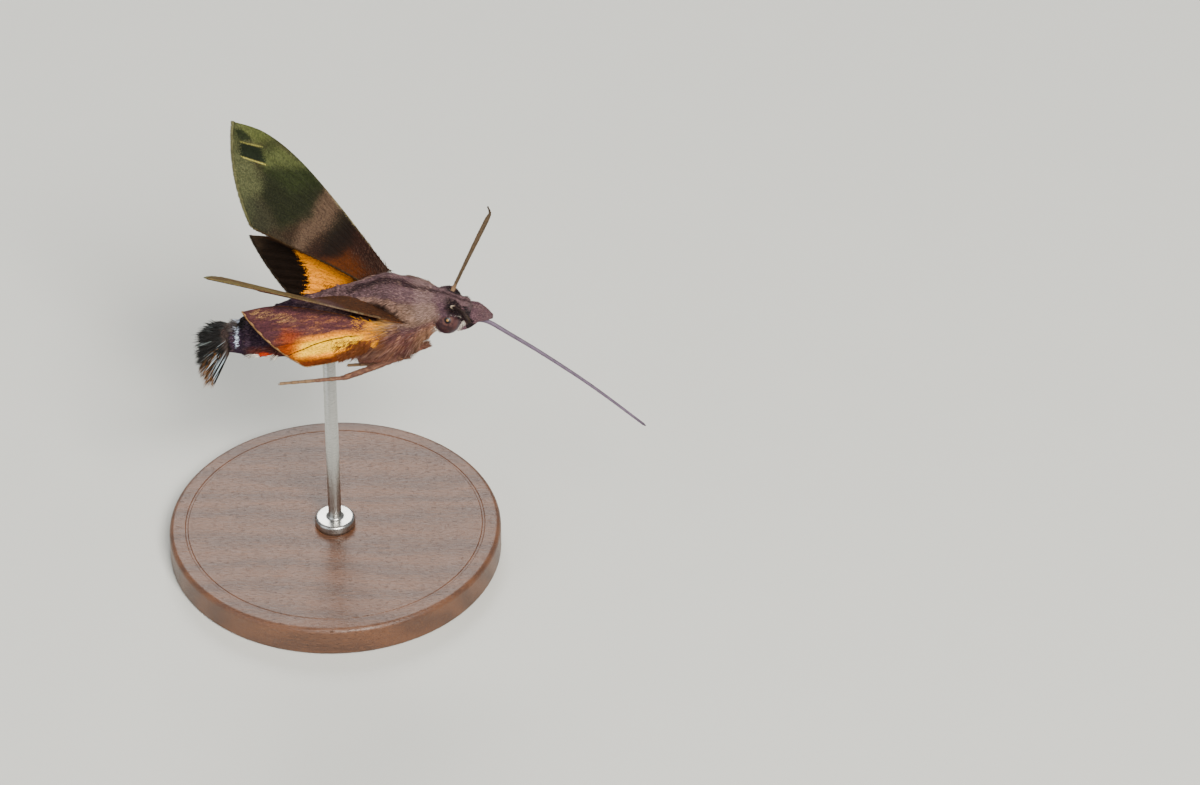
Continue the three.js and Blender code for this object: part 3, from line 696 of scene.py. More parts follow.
class BodyCoat:
    """Fur and flat scales over the trunk, lying back and longest on the chest."""

    REGIONS = (
        Region("head_fur", 8.95, 5.2, 210, "fur"),
        Region("thorax_fur_front", 5.2, 1.4, 130, "fur"),
        Region("thorax_fur_middle", 1.4, -2.0, 130, "fur"),
        Region("thorax_fur_back", -2.0, -5.3, 130, "fur"),
        Region("abdomen_scales_front", -5.3, -11.2, 100, "abdomen"),
        Region("abdomen_scales_back", -11.2, -18.6, 115, "abdomen"),
    )

    def __init__(self, body: Body, eye: Eye, random: np.random.Generator) -> None:
        self.body, self.eye, self.random = body, eye, random

    def roots(self, region: Region) -> tuple[Array, Array]:
        """Returns evenly spread places (distance along and angle) in a region."""
        x = np.linspace(region.start, region.stop, 161)
        degrees = np.linspace(-180, 180, 181)
        p = self.body.place(x[:, None], degrees[None])
        du, dv = p[1:, :-1] - p[:-1, :-1], p[:-1, 1:] - p[:-1, :-1]
        area = np.linalg.norm(np.cross(du, dv), axis=-1)
        count = int(area.sum() * region.density)
        cell = self.random.choice(area.size, count, p=(area / area.sum()).ravel())
        i, j = np.unravel_index(cell, area.shape)
        step_x, step_d = x[1] - x[0], degrees[1] - degrees[0]
        return x[i] + self.random.random(count) * step_x, degrees[j] + self.random.random(count) * step_d

    def length(self, x: Array, degrees: Array) -> Array:
        """Returns the coat's length in millimetres."""
        low = smoothstep(np.abs(degrees), 80, 130)
        trunk = lerp(0.8, 1.15, low) + 0.25 * np.exp(-((np.abs(degrees)) / 9) ** 2)
        hollow = np.clip(-self.body.hollow.at(x, degrees) / 0.7, 0, 1)
        trunk = trunk * (1 - 0.35 * hollow)
        base = lerp(0.5, trunk, smoothstep(x, -8.5, -4.5))
        base = lerp(base, 0.42, smoothstep(x, 5.0, 7.0))
        hind = ((self.body.waist - x) / ((self.body.waist - self.body.end) / self.body.rings)) % 1.0
        fringe = np.where((x < self.body.waist) & (x > self.body.end), 0.3 * smoothstep(hind, 0.55, 0.95), 0)
        return base + fringe

    def shells(self) -> list[tuple[Region, Shell]]:
        """Returns the mesh of each region."""
        made = []
        for region in self.REGIONS:
            x, degrees = self.roots(region)
            roots = self.body.place(x, degrees)
            clear = np.ones(len(x), bool)
            for side in (1, -1):
                off = (roots - self.eye.middle(side)) / [1, 0.95, 1]
                clear &= np.linalg.norm(off, axis=-1) > self.eye.radius * 1.03
            x, degrees, roots = x[clear], degrees[clear], roots[clear]
            n = len(x)
            normal, back, side = self.body.axes(x, degrees)
            fluff = smoothstep(x, -7.5, -4.5) * (1 - smoothstep(x, 5.0, 7.5))
            low = smoothstep(np.abs(degrees), 80, 130)
            lift = lerp(0.2, lerp(0.3, 0.4, low), fluff) * between(self.random, 0.5, 1.4, n)
            lift += 0.14 * smoothstep(x, 5.0, 6.5)
            yaw = (
                self.random.normal(0, lerp(0.16, 0.3, fluff), n)
                + 0.25 * np.sin(np.radians(degrees)) * fluff
            )
            along = back + side * yaw[:, None] + normal * lift[:, None]
            length = self.length(x, degrees) * between(self.random, 0.7, 1.2, n)
            width = lerp(0.15, 0.085, fluff) * between(self.random, 0.8, 1.25, n)
            width = lerp(width, 0.085, smoothstep(x, 5.0, 6.5))
            droop = lerp(0.05, 0.16, fluff)
            tufts = Tufts(roots, along, normal, length, width, droop, self.body.plan(x, degrees))
            made.append((region, tufts.shell(self.random)))
        return made

    def locks(
        self, x: Array, degrees: Array, ways: Array, length: Array, width: float, droop: float,
        kind: Numbers = 0.0,
    ) -> Shell:
        """Returns long locks that stand out from the short coat.

        Args:
            x: Where they grow along the body.
            degrees: Their angles from the top.
            ways: How far each points back, out from the skin and down the side.
            length: Their lengths.
            width: Their width.
            droop: How far their tips bend down to the skin.
            kind: The number that the material reads.
        """
        roots = self.body.place(x, degrees)
        normal, back, side = self.body.axes(x, degrees)
        down = side * np.sign(degrees)[:, None]
        along = back * ways[:, :1] + normal * ways[:, 1:2] + down * ways[:, 2:]
        along += self.random.normal(0, 0.1, (len(x), 3))
        plan = self.body.plan(x, degrees)
        return Tufts(roots, along, normal, length, width, droop, plan, kind).shell(self.random)

    def chest_locks(self) -> Shell:
        """Returns the long locks of the chest, which fill the space down to the folded legs."""
        n = 9500
        x = between(self.random, 5.5, -5.4, n)
        degrees = lerp(96, 180, self.random.random(n) ** 0.9) * either(self.random, n)
        low = smoothstep(np.abs(degrees), 96, 140)
        middle = smoothstep(x, 6.5, 2.2) * lerp(1.0, 0.75, smoothstep(x, -3.0, -5.6))
        clump = 0.5 + 0.5 * np.sin(x * 5.0 + np.abs(degrees) * 0.11)
        ways = stacked(
            0.95, lerp(0.25, 0.85, low * middle) * between(self.random, 0.75, 1.15, n),
            0.12 + 0.2 * (clump - 0.5),
        )
        length = lerp(1.0, 2.9, low * middle) * between(self.random, 0.6, 1.1, n) * lerp(0.85, 1.05, clump)
        return self.locks(x, degrees, ways, length, 0.12, 0.05)

    def shoulder_locks(self) -> Shell:
        """Returns the fan of long hairs over each wing's hinge, rooted in an arc above it."""
        n = 2400
        at = self.random.random(n) * 3
        x = np.interp(at, [0, 1, 2, 3], [2.0, 0.7, -1.6, -4.4]) + self.random.normal(0, 0.16, n)
        degrees = np.interp(at, [0, 1, 2, 3], [66.0, 47.0, 33.0, 31.0]) + self.random.normal(0, 3.0, n)
        side = either(self.random, n)
        ways = stacked(0.95, 0.22, lerp(0.75, 0.15, at / 3))
        length = between(self.random, 1.2, 1.7, n) * lerp(1.0, 0.7, smoothstep(at, 2.0, 3.0))
        return self.locks(x, degrees * side, ways, length, 0.085, 0.22)

    def hinge_locks(self) -> Shell:
        """Returns the hair that comes off the flank over the roots of the hind wings."""
        n = 3600
        x = between(self.random, 1.2, -1.6, n)
        degrees = between(self.random, 73, 126, n) * either(self.random, n)
        low = smoothstep(np.abs(degrees), 80, 118)
        ways = stacked(1.0, between(self.random, 0.3, 0.7, n) * lerp(1.0, 0.7, low), lerp(-0.15, 0.4, low))
        length = between(self.random, 1.5, 2.5, n)
        return self.locks(x, degrees, ways, length, 0.085, 0.1)

    def cheek_locks(self) -> Shell:
        """Returns the cream tufts under and before the eyes."""
        n = 900
        x = between(self.random, 6.3, 8.3, n)
        degrees = between(self.random, 100, 128, n) * either(self.random, n)
        ways = np.tile([0.35, 0.7, -0.35], (n, 1))
        length = between(self.random, 0.4, 0.75, n)
        return self.locks(x, degrees, ways, length, 0.08, 0.0, 0.75 * (self.random.random(n) > 0.2))

    def rump_locks(self) -> Shell:
        """Returns the small pale tuft on top of the last ring."""
        n = 260
        x, degrees = between(self.random, -17.5, -16.9, n), self.random.normal(-8, 14, n)
        ways = stacked(0.75, between(self.random, 0.5, 0.9, n), 0.0)
        length = between(self.random, 0.6, 1.0, n)
        return self.locks(x, degrees, ways, length, 0.075, 0.0, 0.2 * self.random.random(n))

    def brow_locks(self) -> Shell:
        """Returns the hair of the brow, which lies forward over the roots of the palps."""
        n = 1500
        x = between(self.random, 8.0, 8.9, n)
        degrees = self.random.normal(0, 42, n)
        ways = stacked(between(self.random, -1.0, -0.6, n), between(self.random, 0.3, 0.75, n), 0.0)
        length = between(self.random, 0.5, 0.85, n)
        return self.locks(x, degrees, ways, length, 0.08, 0.1)

    def palp_shell(self, palp: Palp) -> Shell:
        """Returns the scales of both palps, which point to the snout."""
        parts = []
        for side in (1, 0, -1):
            n = 4400
            share, degrees = self.random.random(n) ** 0.85 * 0.995, self.random.random(n) * 360 - 180
            roots, normal, forward = palp.surface(share, degrees, side)
            lift = 0.26 * self.random.random(n) + 0.14
            along = forward + normal * lift[:, None] + self.random.normal(0, 0.12, (n, 3))
            along -= normal * smoothstep(share, 0.85, 1.0)[:, None] * 0.5
            length = lerp(0.36, 0.26, share) * between(self.random, 0.7, 1.15, n)
            uv = self.body.plan_at(roots)
            parts.append(Tufts(roots, along, normal, length, 0.09, 0.05, uv).shell(self.random))
        return Shell.join(parts)

    def eye_rim_shell(self) -> Shell:
        """Returns the ring of scales round both eyes, which laps over their edge."""
        parts = []
        for side in (1, -1):
            n = 1900
            middle = self.eye.middle(side)
            out = unit(np.array([0.1, side * 1.0, -0.12]))
            up = unit(np.array([0.0, 0, 1]) - out * out[2])
            ahead = np.cross(up, out) * side
            turn = self.random.random(n) * 2 * np.pi
            above = np.clip(np.cos(turn), 0, 1)
            rim = swung(up, ahead, turn)
            ring = self.eye.radius * between(self.random, 1.0, 1.07, n)
            sink = between(self.random, -0.3, 0.26, n) + 0.14 * above
            reach = ring * np.sqrt(np.clip(1 - (sink / self.eye.radius) ** 2, 0.3, 1))
            roots = middle + rim * reach[:, None] + out * sink[:, None]
            along = out * 0.9 - rim * (0.1 + 0.25 * above[:, None]) + self.random.normal(0, 0.22, (n, 3))
            along -= np.array([0.45, 0, 0])
            length = between(self.random, 0.26, 0.4, n) + 0.06 * above
            kind = np.where(np.cos(turn + 0.25 * self.random.normal(0, 1, n)) < -0.3, 0.85, 0.0)
            uv = self.body.plan_at(roots)
            parts.append(Tufts(roots, along, rim, length, 0.085, 0.0, uv, kind).shell(self.random))
            parts.append(self.lid(side))
        return Shell.join(parts)

    def lid(self, side: int) -> Shell:
        """Returns the short fur that grows over the top of one eye, paler at its lower edge."""
        n = 2600
        high = unit(np.array([0.12, -side * 0.616, 0.788]))
        look = unit(self.random.normal(0, 1, (n, 3)))
        above = look @ high
        keep = above > 0.42 + self.random.normal(0, 0.03, n)
        look, above = look[keep], above[keep]
        roots = self.eye.surface(look, side)
        push = np.array([-0.55, 0, 0]) - high * 0.6 + self.random.normal(0, 0.14, look.shape)
        along = push + look * (0.42 - (push * look).sum(-1, keepdims=True))
        uv = self.body.plan_at(roots)
        kind = 0.6 * (1 - smoothstep(above, 0.44, 0.6)) * self.random.random(len(above))
        length = lerp(0.24, 0.36, self.random.random(len(above)))
        return Tufts(roots, along, look, length, 0.085, 0.05, uv, kind).shell(self.random)


def coat_colour(g: Graph, tufted: bool) -> Wire:
    """Returns the markings of the trunk, with painted shade in the hollow behind each shoulder and in a band
    down each side of the face, the same on the skin and on the coat.

    Args:
        g: The material's nodes.
        tufted: Whether the mesh has the values shade, tip and kind of each lock.
    """
    body = Body()
    u, v = g.plan("OFBake")
    where = g.vector(u * 28.0, v * body.plan_length, 0.0)
    blur = g.noise(where, 0.55, 4.0) - 0.5
    fine = g.noise(where, 2.2, 3.0) - 0.5
    x = v * body.plan_length + body.plan_from + blur * 1.1 + fine * 0.5
    angle = (u - 0.5) * 360.0
    side = angle.size() + blur * 14.0 + fine * 6.0
    trunk = x.rise(-8.0, -4.6) * x.rise(6.6, 5.0)
    head = x.rise(4.8, 6.2)
    low = side.rise(76.0, 112.0)
    ring = g.distance((x + 1.6) / 3.4, (side - 52.0 - (x + 1.6) * 3.5) / 17.0)
    rear = x.rise(-8.2, -11.0)
    spot = g.distance((x + 13.6) / 1.0, (side - 112.0) / 14.0)
    clean = v * body.plan_length + body.plan_from + fine * 0.06
    waves = (x * 1.1 + side * 0.07).sine()
    bend = (x - 7.2).most(0.0)
    groove_shade = (side - 38.0 - bend * bend * 36.0).size() - bend * 16.0
    segment = ((x - body.waist) * (body.rings / (body.end - body.waist))).sum("FRACT")
    colour = g.layers(
        "#573e43",
        (blur.rise(-0.1, 0.2) * 0.7, "#684d50"),
        (fine.rise(0.06, 0.2) * 0.5, "#765a4a"),
        (side.near(22.0, 9.0, 10.0) * trunk * 0.6, "#765c60"),
        (side.near(62.0, 14.0, 14.0) * x.near(3.4, 1.4, 1.4) * 0.5, "#92785f"),
        (x.near(4.3, 0.7, 0.9) * side.rise(80.0, 60.0) * 0.45, "#957c76"),
        (head * 0.85, "#5f4550"),
        (x.rise(8.6, 9.3) * 0.85, "#62484f"),
        (x.rise(9.4, 10.2) * fine.rise(0.0, 0.15) * 0.6, "#7a5650"),
        (head * side.near(0.0, 26.0, 20.0) * 0.5, "#77605f"),
        (side.near(0.0, 3.0, 8.0) * x.rise(-9.0, -6.5) * 0.75, "#2a1b1f"),
        # Painted shade: a dark band from the brow down between each eye and palp, along the line of the
        # feeler.
        (groove_shade.rise(29.0, 17.0) * x.rise(6.1, 6.8) * 0.95, "#150b10"),
        (ring.near(1.16, 0.13, 0.2) * x.rise(-5.2, -3.6) * side.rise(88.0, 70.0) * 0.6, "#a98570"),
        # Painted shade: the dark brown inside the ring fills the hollow behind each shoulder.
        (ring.rise(1.04, 0.75), "#331a12"),
        (ring.rise(0.9, 0.6) * fine.rise(0.1, 0.2) * 0.8, "#8a5a2c"),
        (low * trunk, "#683f3a"),
        (low * trunk * fine.rise(0.02, 0.2), "#a06c50"),
        (low * trunk * waves.rise(0.55, 0.95) * blur.rise(-0.12, 0.05) * 0.5, "#3a1f1c"),
        (low * x.rise(2.4, 4.0) * x.rise(6.4, 5.6) * 0.8, "#8c664c"),
        (x.near(-0.4, 1.6, 1.2) * side.rise(98.0, 114.0) * fine.rise(-0.1, 0.1) * 0.65, "#b88468"),
        (x.near(-6.2, 1.4, 1.4) * side.rise(74.0, 50.0) * 0.6, "#7a5e60"),
        (rear, "#2c1a2a"),
        (rear * blur.rise(0.0, 0.2) * 0.6, "#452c48"),
        (rear * side.rise(40.0, 8.0) * x.rise(-13.5, -15.5), "#110c0d"),
        (rear * segment.near(0.93, 0.05, 0.06) * 0.5, "#5d4858"),
        (x.near(-11.0, 3.6, 1.6) * side.near(100.0, 12.0, 14.0) * 0.7, "#5e2a18"),
        (spot.rise(1.2, 0.6), "#d8400c"),
        (x.rise(-17.1, -17.5), "#41332f"),
        (x.near(-0.3, 0.9, 0.7) * side.near(79.0, 6.0, 8.0) * 0.85, "#dba044"),
        (x.near(-0.8, 1.0, 0.8) * side.near(100.0, 12.0, 10.0) * 0.6, "#a8683a"),
        (head * side.near(128.0, 16.0, 12.0) * x.rise(8.0, 7.3), "#d9cbbf"),
    )
    if not tufted:
        return g.shaded(colour, fine * 0.8 + 0.75)
    shade, tip = g.value("shade"), g.value("tip")
    stripe = clean.near(-16.8, 0.13, 0.04) * angle.size().rise(6.0, 16.0) * angle.size().rise(92.0, 70.0)
    colour = g.mix(stripe * tip.rise(0.02, 0.15), colour, "#dfe9fb")
    colour = g.mix(g.value("kind"), colour, "#efe6d8")
    pale = shade.rise(0.76, 0.97) * tip.rise(0.2, 0.9) * (1.0 - rear * 0.75) * (1.0 - head * 0.6)
    colour = g.mix(pale * 0.6, colour, "#a5877a")
    return g.shaded(colour, (shade * 0.85 + 0.55) * (tip * 0.55 + 0.62))


def skin_material() -> bpy.types.Material:
    """Returns the material of the skin under the coat."""
    g = Graph("skin", 0.85, Specular_IOR_Level=0.2)
    u, v = g.plan("OFBake")
    bump = g.noise(g.vector(u * 280.0, v * 90.0), 1.0, 4.0)
    return g.finish(coat_colour(g, False), None, bump, 0.12)


def fur_material() -> bpy.types.Material:
    """Returns the material of the body's fur and scales."""
    g = Graph("fur", 0.62, Sheen_Weight=0.03, Sheen_Roughness=0.4, Specular_IOR_Level=0.12)
    return g.finish(coat_colour(g, True), 0.85 - g.value("tip") * 0.25)


# Eyes, feelers, tongue and legs.


def eye_material() -> bpy.types.Material:
    """Returns the glossy, faceted eye, with painted shade for a dark false pupil and a painted reflection for
    its golden middle at the pole of its plan.
    """
    g = Graph("eye", 0.42, Coat_Weight=0.1, Coat_Roughness=0.12, Specular_IOR_Level=0.2)
    x, y, z = g.place()
    where = g.vector(x, y, z)
    _, polar = g.plan("EyePlan")
    facets = g.cells(where, 9.5)
    cloud = g.noise(where, 1.5, 4.0)
    wobble = polar + (cloud - 0.5) * 0.04
    colour = g.layers(
        "#260c10",
        (cloud.rise(0.45, 0.7) * 0.7, "#4c2420"),
        (wobble.rise(0.3, 0.44) * 0.7, "#3c2a3c"),
        (z.rise(33.9, 35.0) * cloud.rise(0.32, 0.58) * 0.6, "#5c4242"),
        # Painted light and shade round the pole: a lighter ring, the dark false pupil as painted shade and its
        # golden middle as a painted reflection.
        (wobble.near(0.118, 0.01, 0.03) * cloud.rise(0.3, 0.55) * 0.6, "#5e3c32"),
        (wobble.rise(0.1, 0.06), "#070303"),
        (wobble.rise(0.036, 0.016), "#a07020"),
    )
    return g.finish(colour, cloud * 0.15 + 0.32, 1.0 - facets, 0.008)


@dataclass(frozen=True)
class Feeler:
    """A feeler that thickens to its middle and ends in a small hook."""

    name: str
    root: tuple[float, float, float]
    along: tuple[float, float, float]
    rise: tuple[float, float, float]
    length: float = 11.0
    thick: float = 1.0
    bow: float = 3.6
    hook: float = 0.92
    segments: int = 46

    def path(self, shares: Array) -> Array:
        """Returns places along its middle."""
        base, lift = np.array(self.root) + THORAX, np.array(self.rise)
        direction = unit(np.array(self.along))
        shaft = (0, 0.25, 0.5, 0.75, self.hook)
        points = [base + direction * self.length * t + lift * self.bow * t * (self.hook - t) for t in shaft]
        end = points[-1]
        points.append(end + direction * 0.55 + np.array([0.05, 0, 0.2]))
        points.append(end + direction * 0.7 + np.array([-0.25, 0, 0.95]))
        return even_curve(points, shares)

    def radius(self, share: Array) -> Array:
        """Returns its radius along it, stepped by its segments."""
        plain = lerp(0.17, 0.26, smoothstep(share, 0.08, 0.7)) * lerp(1, 0.3, smoothstep(share, 0.84, 0.98))
        scape = 0.09 * self.thick * np.exp(-((share - 0.035) / 0.03) ** 2)
        return plain * (1 + 0.13 * ((share * self.segments) % 1.0 - 0.5)) * self.thick + scape

    def shell(self) -> Shell:
        """Returns the feeler, with a plan round it and along it."""
        share = np.linspace(0, 1, self.segments * 5)
        return tube(self.path(share), self.radius(share), 12)

    def bristles(self, random: np.random.Generator) -> Shell:
        """Returns the short bristles along its underside and the scales along its back."""
        n = 1500
        share = random.random(n) * 0.95 + 0.04
        middle, ahead = self.path(share), unit(self.path(share + 0.01) - self.path(share - 0.01))
        across = unit(np.cross(ahead, np.array([0.0, 0, 1])))
        under = np.cross(ahead, across)
        turn = random.random(n) * 2 * np.pi
        out = swung(across, under, turn)
        along = ahead * 0.9 + out * 0.55
        length = between(random, 0.12, 0.24, n) * lerp(1, 0.5, share)
        uv = stacked(turn / (2 * np.pi), share)
        roots = middle + out * self.radius(share)[:, None] * 0.9
        return Tufts(roots, along, out, length, 0.06, 0.0, uv, 0.0).shell(random)


def feeler_material(tufted: bool, side: int) -> bpy.types.Material:
    """Returns the material of a feeler: brown scales, dark joints and tip, with painted shade darkening the
    right one (-1) and a painted highlight on its pale root.
    """
    g = Graph(
        f"feeler_{'scales' if tufted else 'shaft'}_{'left' if side > 0 else 'right'}", 0.7,
        Specular_IOR_Level=0.2,
    )
    u, v = g.plan("OFBake" if tufted else "Plan")
    noise = g.noise(g.vector(u * 6.0, v * 60.0), 1.0, 3.0)
    joint = (v * 46.0).sum("FRACT")
    colour = g.layers(
        # The right feeler's colours are darkened by painted shade, and its pale root is a painted highlight.
        "#54432f" if side > 0 else "#2e201d",
        (noise.rise(0.45, 0.7), "#33291e" if side > 0 else "#46332f"),
        (joint.near(0.0, 0.1, 0.15) * 0.7, "#2a211a"),
        (v.rise(0.86, 0.97), "#3a2e24"),
        (v.rise(0.1, 0.06) * 0.85, "#7d6248" if side > 0 else "#d0bfa6"),
    )
    if tufted:
        colour = g.varied(colour)
    return g.finish(colour, 0.55 + noise * 0.3, noise, 0.03)


@dataclass(frozen=True)
class Tongue:
    """The long proboscis, slightly arched, held forward and down from between the palps."""

    slope: float = 35.0
    bend: float = 5.0
    length: float = 23.0

    def shell(self) -> Shell:
        """Returns the proboscis."""
        points = [THORAX + p for p in ((8.0, 0, -1.25), (9.4, 0, -1.2), (10.9, 0, -1.5))]
        for share in (0.12, 0.35, 0.65, 1.0):
            a = math.radians(self.slope + self.bend * share)
            points.append(points[2] + np.array([math.cos(a), 0, -math.sin(a)]) * self.length * share)
        share = np.linspace(0, 1, 260)
        tip = np.where(share > 0.985, np.sqrt(np.clip((1 - share) / 0.015, 0.05, 1)), 1)
        taper = lerp(0.27, 0.15, share) * tip
        return tube(even_curve(points, share), taper * (1 + 0.03 * np.sin(share * 520)), 16, 0.85)

    def material(self) -> bpy.types.Material:
        """Returns its dark, ringed, slightly shiny material with a groove down the middle."""
        g = Graph("proboscis", 0.38, Specular_IOR_Level=0.5)
        u, v = g.plan("Plan")
        rings = ((v * 900.0).sine() + 1.0) / 2.0
        groove = u.near(0.25, 0.012, 0.02)
        noise = g.noise(g.vector(u * 3.0, v * 30.0), 1.0, 3.0)
        colour = g.layers(
            "#5a4a5e",
            (noise.rise(0.4, 0.7), "#3e3140"),
            (rings * 0.35, "#77667c"),
            (groove * 0.8, "#241b26"),
            (v.rise(0.9, 1.0) * 0.6, "#2f2430"),
        )
        return g.finish(colour, 0.3 + noise * 0.25, rings - groove, 0.02)


@dataclass(frozen=True)
class Leg:
    """A leg folded under the body: hip, trochanter, knee, heel and toe of the right side."""

    name: str
    joints: tuple[tuple[float, float, float], ...]
    femur: float
    rounding: float = 0.16

    def path(self, share: Array, side: int) -> Array:
        """Returns places along it: 0 at the hip, and one more at each joint."""
        points = np.array(self.joints) * np.array([1, -side, 1]) + THORAX
        at = np.clip(share, 0, len(points) - 1)
        i = np.minimum(np.floor(at).astype(int), len(points) - 2)
        w = (at - i)[..., None]
        straight = lerp(points[i], points[i + 1], w)
        return lerp(straight, catmull(points, at), self.rounding)

    def radius(self, share: Array) -> Array:
        """Returns its radius along it."""
        f = self.femur
        thigh = f * (0.72 + 0.3 * np.sin(np.pi * np.clip(share - 1, 0, 1)))
        shin = f * lerp(0.66, 0.8, smoothstep(share, 2.0, 2.7))
        joint = ((share - 3) * 5) % 1.0
        foot = lerp(0.24, 0.17, share - 3) * (0.86 + 0.2 * joint)
        radius = np.where(share < 1, 0.85 * f, thigh)
        radius = lerp(radius, shin, smoothstep(share, 1.93, 2.06))
        return lerp(radius, foot, smoothstep(share, 2.95, 3.03))

    def shell(self, side: int) -> Shell:
        """Returns the leg of one side."""
        share = np.concatenate([np.linspace(0, 3, 90), np.linspace(3, 4, 80)[1:]])
        return tube(self.path(share, side), self.radius(share), 14, up=(0.1, 1, 0.2))

    def scales(self, side: int, random: np.random.Generator) -> Shell:
        """Returns its short scales, with longer ones along the shin."""
        n = 2000
        share = 4 * random.random(n) ** 0.85
        middle = self.path(share, side)
        ahead = unit(self.path(share + 0.02, side) - self.path(share - 0.02, side))
        across = unit(np.cross(ahead, np.array([0.1, 1, 0.2])))
        rise = np.cross(across, ahead)
        turn = random.random(n) * 2 * np.pi
        out = swung(across, rise, turn)
        hairy = 1 - smoothstep(share, 2.4, 3.2)
        length = lerp(0.24, 0.6, hairy) * between(random, 0.6, 1.2, n) * lerp(1, 0.7, smoothstep(share, 3, 4))
        along = ahead + out * lerp(0.16, 0.4, hairy * random.random(n))[:, None]
        uv = stacked(turn / (2 * np.pi), share / 4)
        roots = middle + out * self.radius(share)[:, None] * 0.95
        return Tufts(roots, along, out, length, 0.075, 0.03, uv).shell(random)

    def spurs(self, side: int) -> Shell:
        """Returns the spurs at the heel and the claws at the toe, as plain tapering spikes."""
        heel, toe = self.path(np.array([3.0]), side)[0], self.path(np.array([4.0]), side)[0]
        ahead = unit(toe - heel)
        across = unit(np.cross(ahead, np.array([0.0, 0, 1])))
        roots = np.array([heel, heel, toe, toe])
        ways = np.array([ahead + lean * across for lean in (0.5, -0.4, 0.7, -0.7)])
        normals = np.tile(np.cross(across, ahead), (4, 1))
        length = np.array([0.8, 0.65, 0.3, 0.3])
        uv = np.array([[0.2, 0.75], [0.6, 0.75], [0.2, 0.99], [0.6, 0.99]])
        shell = Tufts(roots, ways, normals, length, np.array([0.14, 0.14, 0.1, 0.1]), 0.15, uv)
        return shell.shell(np.random.default_rng(3))


LEGS = (
    Leg(
        "foreleg",
        ((2.8, 1.0, -2.6), (2.6, 1.3, -4.3), (4.1, 1.3, -3.7), (1.9, 1.2, -5.0), (-0.8, 0.8, -5.8)), 0.36,
    ),
    Leg(
        "midleg",
        ((0.6, 1.6, -3.6), (0.1, 1.9, -5.0), (1.9, 2.5, -4.3), (-1.2, 1.7, -6.0), (-4.8, 1.2, -6.7)), 0.4,
    ),
    Leg(
        "hindleg",
        ((-3.4, 1.6, -3.6), (-3.2, 2.2, -5.2), (1.0, 3.5, -3.9), (-5.2, 3.6, -6.6), (-12.3, 4.3, -6.9)), 0.42,
    ),
)
FEELERS = (
    Feeler("antenna_left", (6.85, 1.35, 1.6), (0.385, 0.835, 0.393), (0.05, -0.1, 0.3)),
    Feeler("antenna_right", (6.85, -1.35, 1.6), (0.21, -0.865, 0.455), (0.35, 0.1, 0.35), thick=0.75),
)


def leg_material(tufted: bool) -> bpy.types.Material:
    """Returns the material of the legs: mauve-brown, paler and ringed on the feet."""
    g = Graph("leg_scales" if tufted else "leg", 0.7, Specular_IOR_Level=0.2)
    u, v = g.plan("OFBake" if tufted else "Plan")
    noise = g.noise(g.vector(u * 5.0, v * 40.0), 1.0, 4.0)
    joint = ((v - 0.75) * 20.0).sum("FRACT")
    foot = v.rise(0.72, 0.77)
    colour = g.layers(
        "#5d3f34",
        (noise.rise(0.45, 0.7) * 0.8, "#8a6248"),
        (v.rise(0.5, 0.2) * 0.7, "#6e4136"),
        (foot * 0.7, "#80694c"),
        (foot * joint.near(0.02, 0.1, 0.12) * 0.6, "#3f2e22"),
    )
    if tufted:
        colour = g.varied(colour)
    return g.finish(colour, 0.55 + noise * 0.3, noise, 0.03)


# Wings.


PLAN_SHIFT = 0.2


@dataclass(frozen=True)
class Vein:
    """A vein, from its place across the root, by its stem, to its place across the outer margin."""

    root: float
    stem: float
    margin: float
    start: float = 0.0

    def across(self, s: Array) -> Array:
        """Returns where it lies across the wing, at shares of the wing's length."""
        inner = lerp(self.root, self.stem, smoothstep(s, 0, 0.45))
        return np.where(s < 0.5, inner, lerp(self.stem, self.margin, smoothstep(s, 0.35, 1.05)))


@dataclass(frozen=True)
class WingPlan:
    """A wing's outline and veins in its own plane, as shares of its length."""

    length: float
    front: tuple[tuple[float, float], ...]
    back: tuple[tuple[float, float], ...]
    bulge: float
    camber: float
    veins: tuple[Vein, ...]

    def outline(self, s: Array, t: Array) -> Array:
        """Returns places in the wing's plane at shares of its length and of its chord."""
        front, back = (np.array(edge) * self.length for edge in (self.front, self.back))
        margin = unit(back[-1] - front[-1])
        outwards = np.array([margin[1], -margin[0]]) * self.bulge
        flat = np.asarray(s).ravel()
        first = even_curve(front, flat).reshape(*np.shape(s), 2)
        last = even_curve(back, flat).reshape(*np.shape(s), 2)
        return lerp(first, last, t[..., None]) + outwards * (s**4 * np.sin(np.pi * t) ** 0.8)[..., None]

    def uv(self, s: Array, t: Array) -> Array:
        """Returns the places on the wing's flat plan."""
        return self.outline(s, t) / self.length + np.array([0.0, PLAN_SHIFT])

    def vein_height(self, s: Array, t: Array) -> Array:
        """Returns how far the veins stand out, from 0 to 1."""
        height = np.exp(-(((t - 0.012) / 0.02) ** 2)) * 0.9
        for vein in self.veins:
            strength = smoothstep(s, vein.start - 0.05, vein.start + 0.08) * lerp(1, 0.4, s)
            height = np.maximum(height, strength * np.exp(-(((t - vein.across(s)) / 0.0085) ** 2)))
        return height


